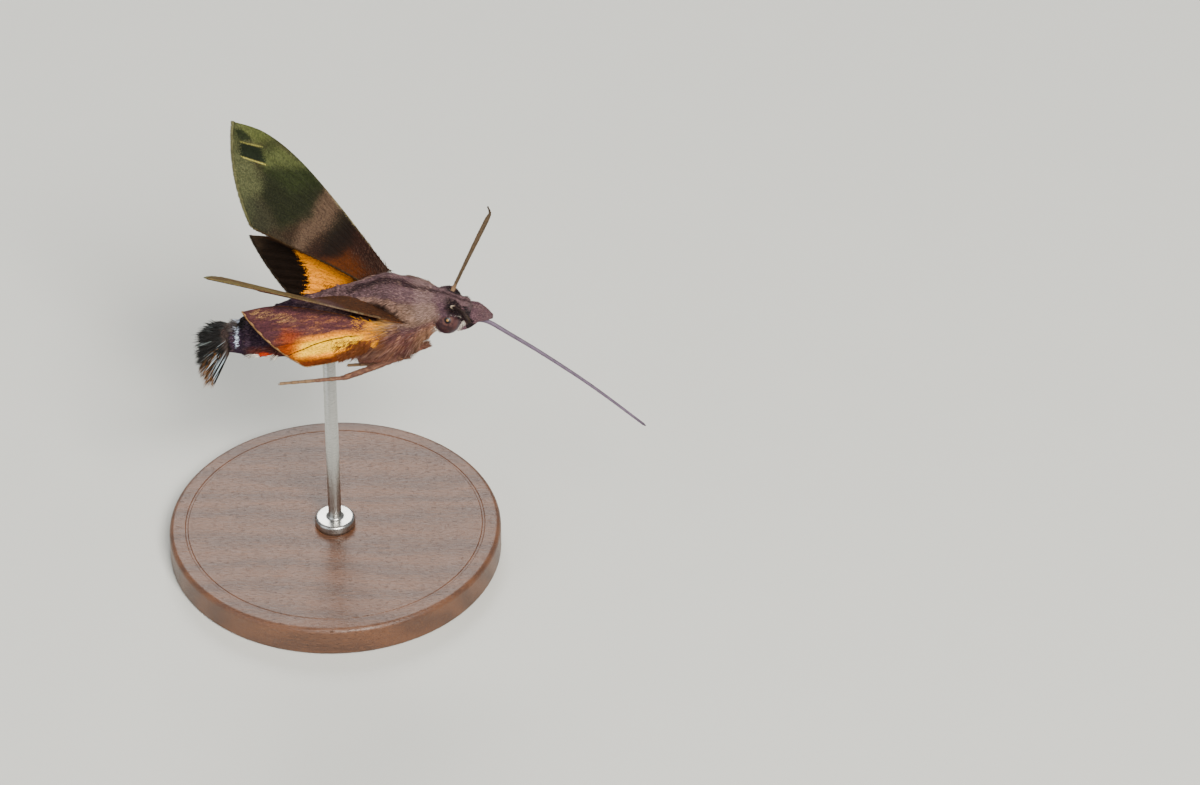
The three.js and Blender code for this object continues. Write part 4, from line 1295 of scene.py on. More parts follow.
FOREWING = WingPlan(
    23.9,
    ((0, 0), (0.33, -0.01), (0.65, 0.004), (0.86, 0.055), (1, 0.15)),
    ((0.02, 0.14), (0.3, 0.275), (0.553, 0.402)),
    1.15,
    0.5,
    (
        Vein(0.14, 0.17, 0.1),
        Vein(0.24, 0.23, 0.24),
        Vein(0.32, 0.3, 0.37, 0.42),
        Vein(0.46, 0.44, 0.5, 0.46),
        Vein(0.58, 0.56, 0.62, 0.42),
        Vein(0.66, 0.63, 0.74),
        Vein(0.74, 0.7, 0.86),
        Vein(0.86, 0.87, 0.96),
    ),
)
HINDWING = WingPlan(
    15.4,
    ((0, 0), (0.35, -0.05), (0.75, -0.045), (1, 0.05)),
    ((0.02, 0.19), (0.22, 0.36), (0.43, 0.45)),
    0.6,
    0.35,
    (
        Vein(0.2, 0.24, 0.22), Vein(0.34, 0.36, 0.4, 0.4), Vein(0.5, 0.5, 0.55, 0.4), Vein(0.64, 0.62, 0.7),
        Vein(0.82, 0.82, 0.86),
    ),
)


@dataclass(frozen=True)
class Wing:
    """A wing as it is held: hinge from the thorax centre, way of its length and way of its hind edge."""

    name: str
    plan: WingPlan
    hinge: tuple[float, float, float]
    along: tuple[float, float, float]
    aft: tuple[float, float, float]
    twist: float
    upper: int
    thickness: float = 0.11
    vein: float = 0.08
    inset: float = 0.3
    edge: float = 0.45

    def directions(self) -> tuple[Array, Array, Array]:
        """Returns the ways of its length, of its hind edge and of its lift."""
        length = unit(np.array(self.along))
        aft = np.array(self.aft)
        chord = unit(aft - length * (aft @ length))
        lift = np.cross(length, chord)
        return length, chord, lift if lift[2] > 0 else -lift

    def place(self, s: Array, t: Array, height: Numbers = 0.0) -> Array:
        """Returns places on the wing's middle sheet, or at a height above it."""
        length, chord, lift = self.directions()
        flat = self.plan.outline(s, t)
        a, b = flat[..., 0], flat[..., 1]
        turn = np.radians(self.twist) * (1 - smoothstep(a, 3, 10))
        bow = self.plan.camber * 4 * t * (1 - t) * (0.4 + 0.6 * s)
        up = b * np.sin(turn) + bow + height
        return (
            np.array(self.hinge) + THORAX + a[..., None] * length
            + (b * np.cos(turn))[..., None] * chord + up[..., None] * lift
        )

    def shell(self, rows: int = 90, columns: int = 150) -> Shell:
        """Returns the wing: upper face, under face and the rim between, with a plan in its own plane."""
        tip = 1 - self.inset / self.plan.length
        s, t = np.meshgrid(np.linspace(0, tip, rows), np.linspace(0.003, 0.982, columns), indexing="ij")
        thin = np.clip(np.minimum.reduce([t, 1 - t, (1 - s) * 1.5]) / 0.02, 0.25, 1)
        half = self.thickness / 2 * thin + self.vein * self.plan.vein_height(s, t) * thin
        ripple = 0.05 * np.sin(t * 46 + 3 * s) * s
        uv = self.plan.uv(s, t)
        top, bottom = self.place(s, t, ripple + half), self.place(s, t, ripple - half)
        faces = grid_faces(rows, columns, False)
        below = rows * columns
        edge = np.concatenate([
            np.arange(columns), np.arange(1, rows) * columns + columns - 1,
            (rows - 1) * columns + np.arange(columns - 2, -1, -1), np.arange(rows - 2, 0, -1) * columns,
        ])
        after = np.roll(edge, -1)
        rim = np.stack([edge, edge + below, after + below, after], -1)
        up_slot, down_slot = (0, 1) if self.upper > 0 else (1, 0)
        slots = np.repeat([up_slot, down_slot, 0], [len(faces), len(faces), len(rim)])
        length, chord, lift = self.directions()
        turned = np.cross(length, chord) @ lift > 0
        if turned:
            sheets = [faces[:, ::-1], faces + below, rim[:, ::-1]]
        else:
            sheets = [faces, faces[:, ::-1] + below, rim]
        return Shell(
            np.concatenate([top, bottom]).reshape(-1, 3),
            np.concatenate(sheets),
            np.concatenate([uv.reshape(-1, 2)] * 2),
            slots=slots,
        )

    def hairs(
        self, s: Array, t: Array, face: Array, ways: Array, length: Array, width: float, kind: Numbers,
        random: np.random.Generator,
    ) -> Shell:
        """Returns hairs on the wing.

        Args:
            s: Shares of the wing's length where they grow.
            t: Shares of its chord.
            face: The side they grow on, 1 above and -1 below.
            ways: How far each points along the wing, to the hind edge and off the sheet.
            length: Their lengths.
            width: Their width.
            kind: The number that the material reads.
            random: Where the chances come from.
        """
        ahead, chord, lift = self.directions()
        roots = self.place(s, t, face * self.thickness * 0.35)
        along = ways[:, :1] * ahead + ways[:, 1:2] * chord + (ways[:, 2] * face)[:, None] * lift
        along += random.normal(0, 0.1, (len(s), 3))
        uv = self.plan.uv(s, t)
        tufts = Tufts(roots, along, face[:, None] * lift, length, width, 0.0, uv, kind, thick=0.2)
        return tufts.shell(random)

    def fringe(self, random: np.random.Generator) -> Shell:
        """Returns the fringe of scales round its outer and hind edges, in a layer on each face."""
        n = int(150 * self.plan.length)
        outer = random.random(n) < 0.6
        tip = 1 - (self.inset + 0.08) / self.plan.length
        t = np.where(outer, random.random(n) * 0.98, 0.972)
        s = np.where(outer, tip, 0.06 + 0.93 * random.random(n))
        ahead, chord, _ = self.directions()
        out = unit(self.place(s, t) - self.place(np.where(outer, s - 0.03, s), np.where(outer, t, t - 0.05)))
        ways = stacked(out @ ahead + 0.22 * ~outer, out @ chord, -0.05)
        length = self.edge * between(random, 0.65, 1.1, n) * np.where(outer, 1.0, 0.75)
        face = either(random, n)
        return self.hairs(s, t, face, ways, length, 0.085, 1.0, random)

    def root_fur(self, random: np.random.Generator) -> Shell:
        """Returns the hair that covers its hinge on both faces."""
        n = 2200
        s, t = 0.2 * random.random(n) ** 1.5, random.random(n)
        back = np.where((random.random(n) < 0.6) & (s < 0.03), -0.8, 1.0)
        ways = stacked(back, random.normal(-0.1, 0.3, n), between(random, 0.02, 0.24, n))
        length = between(random, 0.5, 0.95, n) * lerp(1.0, 0.6, s / 0.2)
        return self.hairs(s, t, either(random, n), ways, length, 0.065, 0.5, random)

    def margin_hair(self, random: np.random.Generator) -> Shell:
        """Returns the longer hair along the inner margin of a hind wing."""
        n = 2400
        s, t = 0.5 * random.random(n), 1 - 0.45 * random.random(n) ** 1.6
        ways = stacked(between(random, 0.3, 0.9, n), 0.8, between(random, 0.0, 0.35, n))
        length = between(random, 0.8, 1.5, n) * lerp(1.0, 0.4, s / 0.5)
        return self.hairs(s, t, either(random, n), ways, length, 0.07, 0.3, random)


WINGS = (
    Wing("forewing_left", FOREWING, (-0.3, 4.5, 2.4), (-0.613, 0.361, 0.703), (-0.69, -0.677, -0.254), 8, 1),
    Wing(
        "forewing_right", FOREWING, (1.65, -4.1, 1.4), (-0.809, -0.327, 0.488), (-0.546, 0.726, -0.419), 20, 1
    ),
    Wing("hindwing_left", HINDWING, (-1.7, 4.3, 0.5), (-0.882, 0.02, 0.47), (-0.45, 0.1, -0.89), 0, -1),
    Wing(
        "hindwing_right", HINDWING, (-1.0, -4.25, 1.3), (-0.965, -0.1, 0.245), (-0.23, -0.06, -0.97), 0, -1,
        inset=0.15, edge=0.28,
    ),
)


class Face(Enum):
    """The four patterns that the wings carry."""

    FORE_UPPER = "forewing_upper"
    FORE_UNDER = "forewing_under"
    HIND_UPPER = "hindwing_upper"
    HIND_UNDER = "hindwing_under"


class WingPaint:
    """Paints a wing's face. Places are in millimetres along the wing (a) and towards its hind edge (b)."""

    # painted_shade: from 0 to 1, how far the face is darkened by painted shade, as on the right forewing.
    def __init__(self, face: Face, tufted: bool = False, painted_shade: float = 0.0) -> None:
        self.face = face
        self.tufted = tufted
        self.painted_shade = painted_shade
        self.g = Graph(
            face.value + ("_fringe" if tufted else "") + ("_in_shade" if painted_shade else ""), 0.7,
            Specular_IOR_Level=0.07,
        )
        g = self.g
        size = FOREWING.length if face in (Face.FORE_UPPER, Face.FORE_UNDER) else HINDWING.length
        u, v = g.plan("OFBake" if tufted else "WingPlan")
        a, b = u * size, (v - PLAN_SHIFT) * size
        where = g.vector(a, b)
        self.where = where
        self.wave = g.noise(where, 0.7, 4.0) - 0.5
        self.grain = g.noise(g.vector(a * 0.8, b), 9.0, 4.0) - 0.5
        self.specks = g.noise(g.vector(a * 0.7, b), 13.0, 4.0, 0.8).rise(0.44, 0.72)
        self.mottle = g.noise(where, 3.2, 3.0, 0.7) - 0.5
        self.a = a + self.wave * 1.1 + self.grain * 2.4
        self.b = b + self.wave * 0.8 + self.grain * 1.4

    def scales(self) -> tuple[Wire, Wire]:
        """Returns the shade of each small scale and the height of its edge."""
        g = self.g
        parts = g.node("ShaderNodeSeparateXYZ", {0: self.where})
        a, b = Wire(g, parts.outputs[0]), Wire(g, parts.outputs[1])
        rows = g.vector(a * 6.5, b * 11.0)
        shade = g.wire("ShaderNodeSeparateColor", {0: g.cells(rows, 1.0, "Color")})
        return shade, g.cells(rows, 1.0)

    def patch(self, soft: float, *corners: tuple[float, float]) -> Wire:
        """Returns 1 inside a shape with straight sides and no inward corners, and 0 from soft outside it."""
        mask: Wire | None = None
        ends = [*corners[1:], corners[0]]
        turn = sum(p[0] * q[1] - q[0] * p[1] for p, q in zip(corners, ends))
        for (x, y), (x2, y2) in zip(corners, ends):
            size = math.hypot(x2 - x, y2 - y) * math.copysign(1.0, turn)
            inside = (
                self.b * ((x2 - x) / size) - self.a * ((y2 - y) / size)
                + (x * (y2 - y) - y * (x2 - x)) / size
            )
            mask = inside if mask is None else mask.least(inside)
        return mask.rise(-soft, soft * 0.3)

    def stroke(self, wide: float, start: tuple[float, float], stop: tuple[float, float]) -> Wire:
        """Returns a thin straight line between two places."""
        (x, y), (x2, y2) = start, stop
        nx, ny = (y - y2), (x2 - x)
        size = math.hypot(nx, ny)
        nx, ny = nx / size * wide, ny / size * wide
        return self.patch(0.12, (x - nx, y - ny), (x2 - nx, y2 - ny), (x2 + nx, y2 + ny), (x + nx, y + ny))

    def fore_upper(self) -> Wire:
        """Returns brown and pale cross bands, an olive middle and a pale tip with two dark marks."""
        g, a, b, patch = self.g, self.a, self.b, self.patch
        specks = self.specks
        dark_band = patch(
            1.0, (6.8, -0.6), (9.4, -0.6), (8.2, 1.6), (7.4, 4.6), (6.4, 5.6), (4.9, 3.8), (5.3, 1.8)
        )
        olive = patch(
            1.2, (12.3, -0.6), (14.4, -0.6), (16.9, 3.0), (17.5, 4.2), (15.6, 6.4), (11.4, 6.8), (10.6, 3.4)
        )
        green = patch(0.9, (14.8, 0.1), (16.0, 0.5), (18.4, 0.9), (18.7, 3.6), (17.6, 3.9), (16.9, 3.0))
        shadow = patch(
            1.4, (12.6, 0.2), (14.2, 0.2), (16.6, 3.0), (17.2, 4.2), (15.2, 6.0), (11.8, 6.4), (11.2, 3.6)
        )
        outer = patch(
            1.4, (16.4, -0.6), (19.4, -0.6), (24.6, 3.0), (24.0, 5.0), (17.2, 9.9), (12.6, 9.9), (13.0, 8.8),
            (16.8, 6.4),
        )
        return g.layers(
            "#1e0f0b",
            (specks * 0.55, "#452c20"),
            (patch(1.6, (1.8, 2.8), (4.8, 3.2), (5.4, 6.4), (2.0, 6.4)) * 0.85, "#4c2408"),
            (dark_band * 0.95, "#150e0a"),
            (
                patch(1.1, (9.3, -0.6), (12.4, -0.6), (10.6, 3.0), (10.2, 7.6), (8.3, 7.6), (8.5, 2.0)),
                "#4a382d",
            ),
            (
                patch(2.2, (5.0, 5.6), (10.0, 6.0), (14.0, 7.6), (16.8, 7.0), (14.0, 9.9), (5.0, 9.9)) * 0.9,
                "#251e16",
            ),
            (olive, "#171b0e"),
            (patch(1.6, (13.2, 0.6), (14.8, 0.4), (16.4, 3.6), (13.8, 3.0)) * 0.6, "#2f3b1a"),
            (outer, "#2d311d"),
            (green * 0.95, "#454c29"),
            (patch(0.8, (15.6, -0.7), (18.8, -0.4), (18.4, 0.4), (16.2, 0.2)) * 0.8, "#272b14"),
            (patch(0.8, (18.8, 0.2), (19.7, 0.6), (19.6, 3.0), (18.7, 3.0)) * 0.8, "#2b3318"),
            (patch(0.9, (19.9, 0.9), (23.4, 2.6), (22.6, 3.2), (20.4, 3.0)), "#434a24"),
            (patch(1.3, (16.8, 5.6), (19.2, 5.4), (20.6, 6.0), (17.4, 8.8), (14.6, 9.2)) * 0.7, "#3d422b"),
            (patch(1.2, (12.4, 7.6), (14.6, 7.2), (16.0, 8.0), (14.6, 9.9), (12.0, 9.9)) * 0.6, "#20261a"),
            (specks * a.rise(6.0, 9.0) * 0.45, "#655f45"),
            (specks * outer * 0.5, "#7b7a50"),
            (shadow * 0.5, "#11160a"),
            (patch(0.2, (18.1, 3.7), (19.4, 3.0), (21.6, 4.5), (20.3, 5.5)) * 0.95, "#141b10"),
            (patch(0.2, (21.1, 3.3), (22.4, 3.3), (22.8, 4.0), (21.5, 4.3)) * 0.9, "#181f10"),
            (patch(0.4, (21.8, 4.3), (23.2, 3.9), (22.4, 5.0)) * 0.6, "#2b3018"),
            (self.stroke(0.02, (17.7, 3.75), (20.0, 5.35)) * 0.9, "#a39a4c"),
            (self.stroke(0.02, (19.6, 2.85), (21.4, 4.35)) * 0.9, "#8d8744"),
            # The copy in painted shade for the right forewing: dark towards the root with mauve over its inner
            # half, golden specks near the root and tan further out.
            (a.rise(13.0, 9.0) * (0.7 * self.painted_shade), "#4a3133"),
            (a.rise(8.6, 7.2) * (0.92 * self.painted_shade), "#2a150e"),
            (a.rise(8.6, 7.2) * specks * (0.6 * self.painted_shade), "#8a5c2c"),
            (a.rise(9.5, 12.5) * (0.42 * self.painted_shade), "#7a5c3c"),
            (b.rise(-0.02, -0.2) * a.rise(1.0, 3.0) * (1.0 - 0.6 * self.painted_shade), "#7d7356"),
        )

    def fore_under(self) -> Wire:
        """Returns a rusty brown face, orange at the root and dusky along the outer edge."""
        g, a, b = self.g, self.a, self.b
        return g.layers(
            "#43261c",
            (a.rise(8.0, 1.0), "#7c400c"),
            (self.patch(1.2, (11.0, -0.6), (12.0, -0.6), (10.6, 8.0), (9.6, 8.0)) * 0.6, "#2c1a14"),
            (self.patch(1.2, (14.6, -0.6), (15.4, -0.6), (15.6, 9.0), (14.6, 9.0)) * 0.5, "#2c1a14"),
            ((a + b * 0.5).rise(18.5, 21.5), "#33291e"),
            (b.rise(4.5, 8.0) * 0.5, "#54402f"),
            (self.specks * 0.4, "#7d4f34"),
            (b.rise(-0.05, -0.3), "#76604e"),
        )

    def hind_upper(self) -> Wire:
        """Returns a broad orange-yellow band between a brown root and a blackish edge."""
        g = self.g
        along = self.b - self.a * 0.6
        teeth = (g.noise(g.vector(along * 3.0, self.a * 0.2), 1.0, 2.0) - 0.5) * 2.6
        out = self.a - (self.b * self.b * 0.13 - self.b * 1.5 + 10.4) + teeth * self.b.rise(0.2, 1.4)
        band = out.rise(0.12, -0.12) * (self.a + self.b * 0.2).rise(1.6, 2.6)
        streak = g.noise(g.vector(along * 5.0, self.a * 0.35), 1.0, 3.0)
        return g.layers(
            "#0f0906",
            (self.specks * 0.6, "#332317"),
            (self.a.rise(12.6, 14.6) * 0.6, "#3c2f22"),
            (g.distance((self.a - 15.0) / 0.4, (self.b - 0.1) / 0.5).rise(1.2, 0.6), "#a88466"),
            (self.a.rise(3.4, 1.8), "#5a2c0c"),
            (band, "#ff9a00"),
            (band * streak.rise(0.5, 0.72) * 0.7, "#ffb000"),
            (band * streak.rise(0.36, 0.28) * 0.7, "#a04a00"),
            (self.b.rise(0.3, 0.1) * 0.85, "#3c2416"),
        )

    def hind_under(self) -> Wire:
        """Returns a yellow wedge from the root, mauve-brown before it and rusty orange around it, with the
        forewing's painted shadow along the front edge.
        """
        g = self.g
        off = (self.b - 1.2 - self.a * 0.5 + self.a * self.a * 0.01).size()
        wide = self.a.rise(0.2, 4.6) * 1.2 + 0.3
        wedge = (off - wide).rise(0.6, -0.3) * self.a.rise(9.4, 7.4) * self.a.rise(0.3, 1.4)
        core = (off - wide * 0.6).rise(0.5, -0.3) * self.a.near(4.6, 2.6, 1.4)
        fleck = g.noise(g.vector(self.a * 1.3, self.b * 3.5), 1.7, 3.0)
        rays = g.noise(g.vector((self.b - self.a * 0.5) * 4.5, self.a * 0.4), 1.0, 3.0)
        rows = (g.noise(g.vector(self.a * 0.5, self.b * 5.2 - self.a * 0.5), 1.0, 3.0)).rise(0.5, 0.62)
        border = self.a.near(11.8, 2.0, 1.0) * self.b.near(0.7, 0.35, 0.3)
        rust = self.a.rise(5.2, 6.6) * self.a.rise(11.0, 9.4) * self.b.rise(2.1, 3.2)
        costal = (self.b - self.a * 0.3).rise(1.35, 0.4)
        bend = self.a - 2.3
        curve = self.b - 1.75 - bend * 0.2 - bend * bend * 0.052
        line = curve.near(0.0, 0.035, 0.11) * self.a.near(6.0, 3.7, 0.5)
        second = self.stroke(0.04, (5.0, 3.1), (5.9, 4.7)) * 0.45
        third = self.stroke(0.03, (7.2, 3.3), (11.0, 4.35)) * 0.5
        return g.layers(
            "#502208",
            (fleck.rise(0.5, 0.66) * 0.6, "#8e4414"),
            (rust * fleck.rise(0.4, 0.55) * 0.8, "#a04004"),
            (costal * 0.95, "#482a2f"),
            (costal * rows * 0.6, "#744a3c"),
            (costal * rows * fleck.rise(0.48, 0.6) * 0.8, "#b87434"),
            (self.a.rise(9.4, 11.4) * self.b.rise(5.2, 3.6) * 0.75, "#40242a"),
            (border * fleck.rise(0.52, 0.64) * 0.8, "#c99a5c"),
            (self.patch(0.9, (8.8, 2.6), (10.0, 2.4), (10.3, 3.5), (9.2, 3.9)) * 0.65, "#8a3606"),
            (wedge, "#ee8e00"),
            (core, "#ffc200"),
            (wedge * rays.rise(0.42, 0.3) * 0.5, "#a84c00"),
            (self.a.rise(2.2, 0.2) * self.b.rise(3.2, 2.0), "#ee9a08"),
            (self.b.rise(5.0, 6.2) * self.a.rise(3.4, 4.4) * 0.75, "#4a2008"),
            (line, "#301404"),
            (second, "#8a4a06"),
            (third, "#2a1410"),
            # Painted shadow: the forewing's shadow darkens the front edge.
            (self.b.rise(-0.1, -0.5) * 0.8, "#241418"),
        )

    def material(self) -> bpy.types.Material:
        """Returns the finished material of the face."""
        g = self.g
        colour = {
            Face.FORE_UPPER: self.fore_upper,
            Face.FORE_UNDER: self.fore_under,
            Face.HIND_UPPER: self.hind_upper,
            Face.HIND_UNDER: self.hind_under,
        }[self.face]()
        if self.tufted:
            edge, root = {
                Face.FORE_UPPER: ("#6c6a48", "#4a352c"),
                Face.HIND_UPPER: ("#2e241b", "#5a3a26"),
                Face.HIND_UNDER: ("#96714a", "#ee9c10"),
            }[self.face]
            if self.face is Face.FORE_UPPER:
                edge = g.mix(self.a.rise(15.0, 12.0), edge, "#40301f")
            kind = g.value("kind")
            colour = g.mix(kind.rise(0.6, 0.9), colour, edge)
            colour = g.mix(kind.near(0.5, 0.05, 0.1), colour, root)
            colour = g.mix(kind.near(0.3, 0.05, 0.08), colour, "#7a4526")
            return g.finish(g.varied(colour))
        shade, edges = self.scales()
        colour = g.shaded(colour, shade * 0.7 + 0.64 + self.grain * 0.9 + self.mottle * 1.1)
        return g.finish(colour, shade * 0.25 + 0.55, edges, 0.035)


# The tail fan and the side tufts.


@dataclass(frozen=True)
class TailFan:
    """The fan of long scales behind the abdomen, black with a grey-brown root."""

    spread: float = 60.0
    droop: float = 18.0
    arch: float = 8.0
    length: float = 4.3
    flare: float = 0.23
    count: int = 2900

    def direction(self, share: Array, tilt: Array) -> Array:
        """Returns the way of the scales, from the left side of the fan (1) to the right (-1)."""
        turn = np.radians(share * self.spread)
        pitch = np.radians(tilt - self.droop - self.arch * share**2)
        return np.stack([-np.cos(turn) * np.cos(pitch), np.sin(turn) * np.cos(pitch), np.sin(pitch)], -1)

    def blades(self, random: np.random.Generator, body: Body) -> Shell:
        """Returns its long flat scales, in layers from the short top ones to the long lower ones."""
        n = self.count
        layer = random.random(n)
        share = np.clip(random.random(n) * 2 - 1 + random.normal(0, 0.02, n), -1.02, 1.02)
        clump = np.sin(share * 34 + 6 * np.round(layer * 3)) * 0.035
        tilt = lerp(-9, 8, layer) * (1 - 0.45 * np.abs(share)) + random.normal(0, 2.0, n)
        along = self.direction(share + clump, tilt)
        centre = np.array([body.end - 0.5, 0, -3.62]) + THORAX
        back = -0.25 * random.random(n)
        across = 1.75 * share * between(random, 1, 0.8, n)
        roots = centre + stacked(back, across, lerp(-0.75, 0.75, layer) - 0.3 * share**2)
        short = smoothstep(layer, 0.72, 1.0)
        spiky = 0.5 + 0.5 * np.cos(share * 34 + 6 * np.round(layer * 3))
        length = (self.length - 0.1) * lerp(0.74, 1.02, random.random(n) ** 0.7) * lerp(0.86, 1.04, spiky)
        length = length * (1 + self.flare * share**2) * lerp(1, 0.5, short)
        width = between(random, 0.11, 0.2, n)
        return blade_shell(roots, along, length, width, np.stack([share, layer], -1), random)


def blade_shell(
    roots: Array, along: Array, length: Array, width: Array, plan: Array, random: np.random.Generator
) -> Shell:
    """Returns long flat scales with a slight fold and a blunt tip.

    Args:
        roots: Where they grow.
        along: The way they point.
        length: How long each is.
        width: How wide each is.
        plan: Two numbers from -1 to 1 and from 0 to 1 that spread the roots on the flat plan.
        random: Where the chances come from.
    """
    n = len(roots)
    up = np.array([0.0, 0, 1]) + random.normal(0, 0.25, (n, 3))
    across = unit(np.cross(along, up))
    top = np.cross(across, along)
    sag = random.normal(0.03, 0.03, n)[:, None]
    shares, breadths = (0.0, 0.25, 0.6, 0.85, 1.0), (0.6, 0.95, 1.0, 0.6, 0.04)
    points = np.empty((n, 5, 4, 3))
    for k, (share, breadth) in enumerate(zip(shares, breadths)):
        centre = roots + along * (length * share)[:, None] - top * (sag * length[:, None] * share**2)
        half = (width * breadth / 2)[:, None]
        points[:, k, 0] = centre + across * half
        points[:, k, 1] = centre + top * half * 0.22
        points[:, k, 2] = centre - across * half
        points[:, k, 3] = centre - top * half * 0.12
    pattern = grid_faces(5, 4, True)
    ends = np.array([[0, 1, 2, 3], [19, 18, 17, 16]])
    pattern = np.concatenate([pattern[:, ::-1], ends[:, ::-1]])
    faces = (pattern[None] + 20 * np.arange(n)[:, None, None]).reshape(-1, 4)
    spot = stacked(np.linspace(-1, 1, 5)[:, None], np.array([-1, 0, 1, 0])[None]).reshape(20, 2)
    uv = np.stack([plan[:, 0] * 0.47 + 0.5, plan[:, 1] * 0.94 + 0.03], -1)
    values = {
        "shade": np.repeat(random.random(n), 20),
        "tip": np.tile(np.repeat(shares, 4), n),
        "share": np.repeat(plan[:, 0], 20),
        "layer": np.repeat(plan[:, 1], 20),
    }
    return Shell(points.reshape(-1, 3), faces, (uv[:, None] + spot * 0.0015).reshape(-1, 2), values)


def tail_material() -> bpy.types.Material:
    """Returns the black of the tail fan, with a grey-brown root, painted highlights as pale glints and pale
    right tips.
    """
    g = Graph("tail_scales", 0.5, Specular_IOR_Level=0.2)
    share, layer = g.value("share"), g.value("layer")
    shade, tip = g.value("shade"), g.value("tip")
    x, y, z = g.place()
    noise = g.noise(g.vector(x, y * 3.0, z * 3.0), 1.2, 3.0)
    root = (tip.rise(0.62, 0.3) * layer.rise(0.4, 0.7) + tip.rise(0.3, 0.1)).least(1.0)
    colour = g.layers(
        "#0e0c0a",
        (noise.rise(0.5, 0.75) * 0.5, "#1f1813"),
        (root * 0.9, "#3e322d"),
        # Painted highlights: pale glints on a few scales, more of them and bluer on the right lobe.
        (shade.rise(0.93, 0.99) * tip.rise(0.15, 0.5) * 0.7, "#7c8583"),
        (share.rise(-0.5, -0.85) * shade.rise(0.78, 0.92) * tip.rise(0.1, 0.4) * 0.8, "#a3b0b8"),
        (share.rise(-0.55, -0.85) * tip.rise(0.84, 0.98) * 0.85, "#a8743f"),
        (share.rise(0.6, 0.95) * tip.rise(0.4, 0.2) * 0.5, "#6e5f4f"),
    )
    return g.finish(g.shaded(colour, shade * 0.7 + 0.6), shade * 0.3 + 0.45)


@dataclass(frozen=True)
class SideTufts:
    """Small tufts of scales that stand out along both sides of the abdomen."""

    places: tuple[float, ...] = (-10.4, -12.6, -14.8)
    count: int = 46

    def shell(self, body: Body, random: np.random.Generator) -> Shell:
        """Returns all the tufts, with kind 1 on the white ones below."""
        parts = []
        for x in self.places:
            for degrees, white in ((90.0, 0.0), (118.0, 0.85)):
                for side in (1, -1):
                    n = self.count
                    around = np.full(n, degrees * side) + random.normal(0, 5, n)
                    place = x + random.normal(0, 0.28, n)
                    roots = body.place(place, around)
                    normal, back, sideways = body.axes(place, around)
                    along = (
                        back + normal * between(random, 0.35, 0.75, n)[:, None]
                        + sideways * random.normal(0, 0.2, (n, 1))
                    )
                    length = between(random, 0.7, 1.35, n)
                    kind = np.where(random.random(n) < white, 1.0, 0.0)
                    width = between(random, 0.12, 0.2, n)
                    plan = body.plan(place, around)
                    parts.append(Tufts(roots, along, normal, length, width, 0.1, plan, kind).shell(random))
        return Shell.join(parts)


# The stand and the studio.


@dataclass(frozen=True)
class Stand:
    """A round wooden base and a steel rod up to the belly."""

    radius: float = 19.0
    height: float = 3.5
    bevel: float = 0.6
    rod: float = 0.75
    flange: float = 2.3
    rod_top: float = 28.95

    def lathe(self, profile: Sequence[tuple[float, float]], around: int) -> Shell:
        """Returns a turned shape from radii and heights, from the bottom up."""
        r, z = np.array(profile, float).T
        r = np.maximum(r, 0.002)
        angle = np.linspace(0, 2 * np.pi, around, endpoint=False)
        points = stacked(r[:, None] * np.cos(angle), r[:, None] * np.sin(angle), z[:, None])
        uv = stacked(angle[None] / (2 * np.pi), np.linspace(0, 1, len(r))[:, None])
        return Shell(points.reshape(-1, 3), grid_faces(len(r), around, True), uv.reshape(-1, 2))

    def base(self) -> Shell:
        """Returns the base, with rounded edges and a shallow turned groove."""
        arc = np.radians(np.linspace(0, 90, 9))
        low = [(self.radius - 0.3 + 0.3 * math.sin(a), 0.3 - 0.3 * math.cos(a)) for a in arc]
        b = self.bevel
        high = [(self.radius - b + b * math.cos(a), self.height - b + b * math.sin(a)) for a in arc]
        cut = self.height - 0.07
        groove = [(17.2, self.height), (17.1, cut), (16.9, cut), (16.8, self.height)]
        return self.lathe([(0, 0), (15, 0), *low, *high, *groove, (8, self.height), (0, self.height)], 160)

    def post(self) -> Shell:
        """Returns the rod with its flange."""
        f, z = self.flange, self.height
        arc = np.radians(np.linspace(0, 90, 7))
        edge = [(f - 0.35 + 0.35 * math.cos(a), z + 0.75 + 0.35 * math.sin(a)) for a in arc]
        foot = [(self.rod + 0.35 - 0.35 * math.sin(a), z + 1.45 - 0.35 * math.cos(a)) for a in arc]
        profile = [
            (0, z), (f, z), (f, z + 0.35), *edge, *foot, (self.rod, self.rod_top - 0.1),
            (self.rod - 0.1, self.rod_top), (0, self.rod_top),
        ]
        return self.lathe(profile, 48)

    def wood(self) -> bpy.types.Material:
        """Returns dark oiled hardwood, with long grain and fine pores."""
        g = Graph("stand_wood", 0.4, Coat_Weight=0.15, Coat_Roughness=0.25)
        x, y, z = g.place()
        drift = g.noise(g.vector(x * 0.04, y * 0.12, z * 0.12), 1.0, 3.0)
        rings = ((y * 1.5 + z * 0.8 + drift * 14.0).sine() + 1.0) / 2.0
        fibre = g.noise(g.vector(x * 0.35, y * 7.0, z * 7.0), 1.0, 4.0)
        pores = g.noise(g.vector(x * 1.2, y * 16.0, z * 16.0), 1.0, 2.0).rise(0.6, 0.72)
        colour = g.layers(
            "#4b2f1f",
            (rings * 0.6, "#6a4329"),
            (fibre.rise(0.45, 0.75) * 0.5, "#7d5233"),
            (pores * 0.6, "#24140c"),
        )
        return g.finish(colour, fibre * 0.25 + 0.32, fibre - pores, 0.06)

    def steel(self) -> bpy.types.Material:
        """Returns brushed steel, turned along the rod."""
        g = Graph("stand_steel", 0.3, Metallic=1.0)
        x, y, z = g.place()
        brush = g.noise(g.vector(x * 1.5, y * 1.5, z * 30.0), 1.0, 4.0)
        colour = g.layers(
            "#a9a9a6", (brush.rise(0.35, 0.7), "#c9c8c4"), (brush.rise(0.7, 0.85) * 0.4, "#8a8a88")
        )
        return g.finish(colour, brush * 0.25 + 0.18, brush, 0.01)


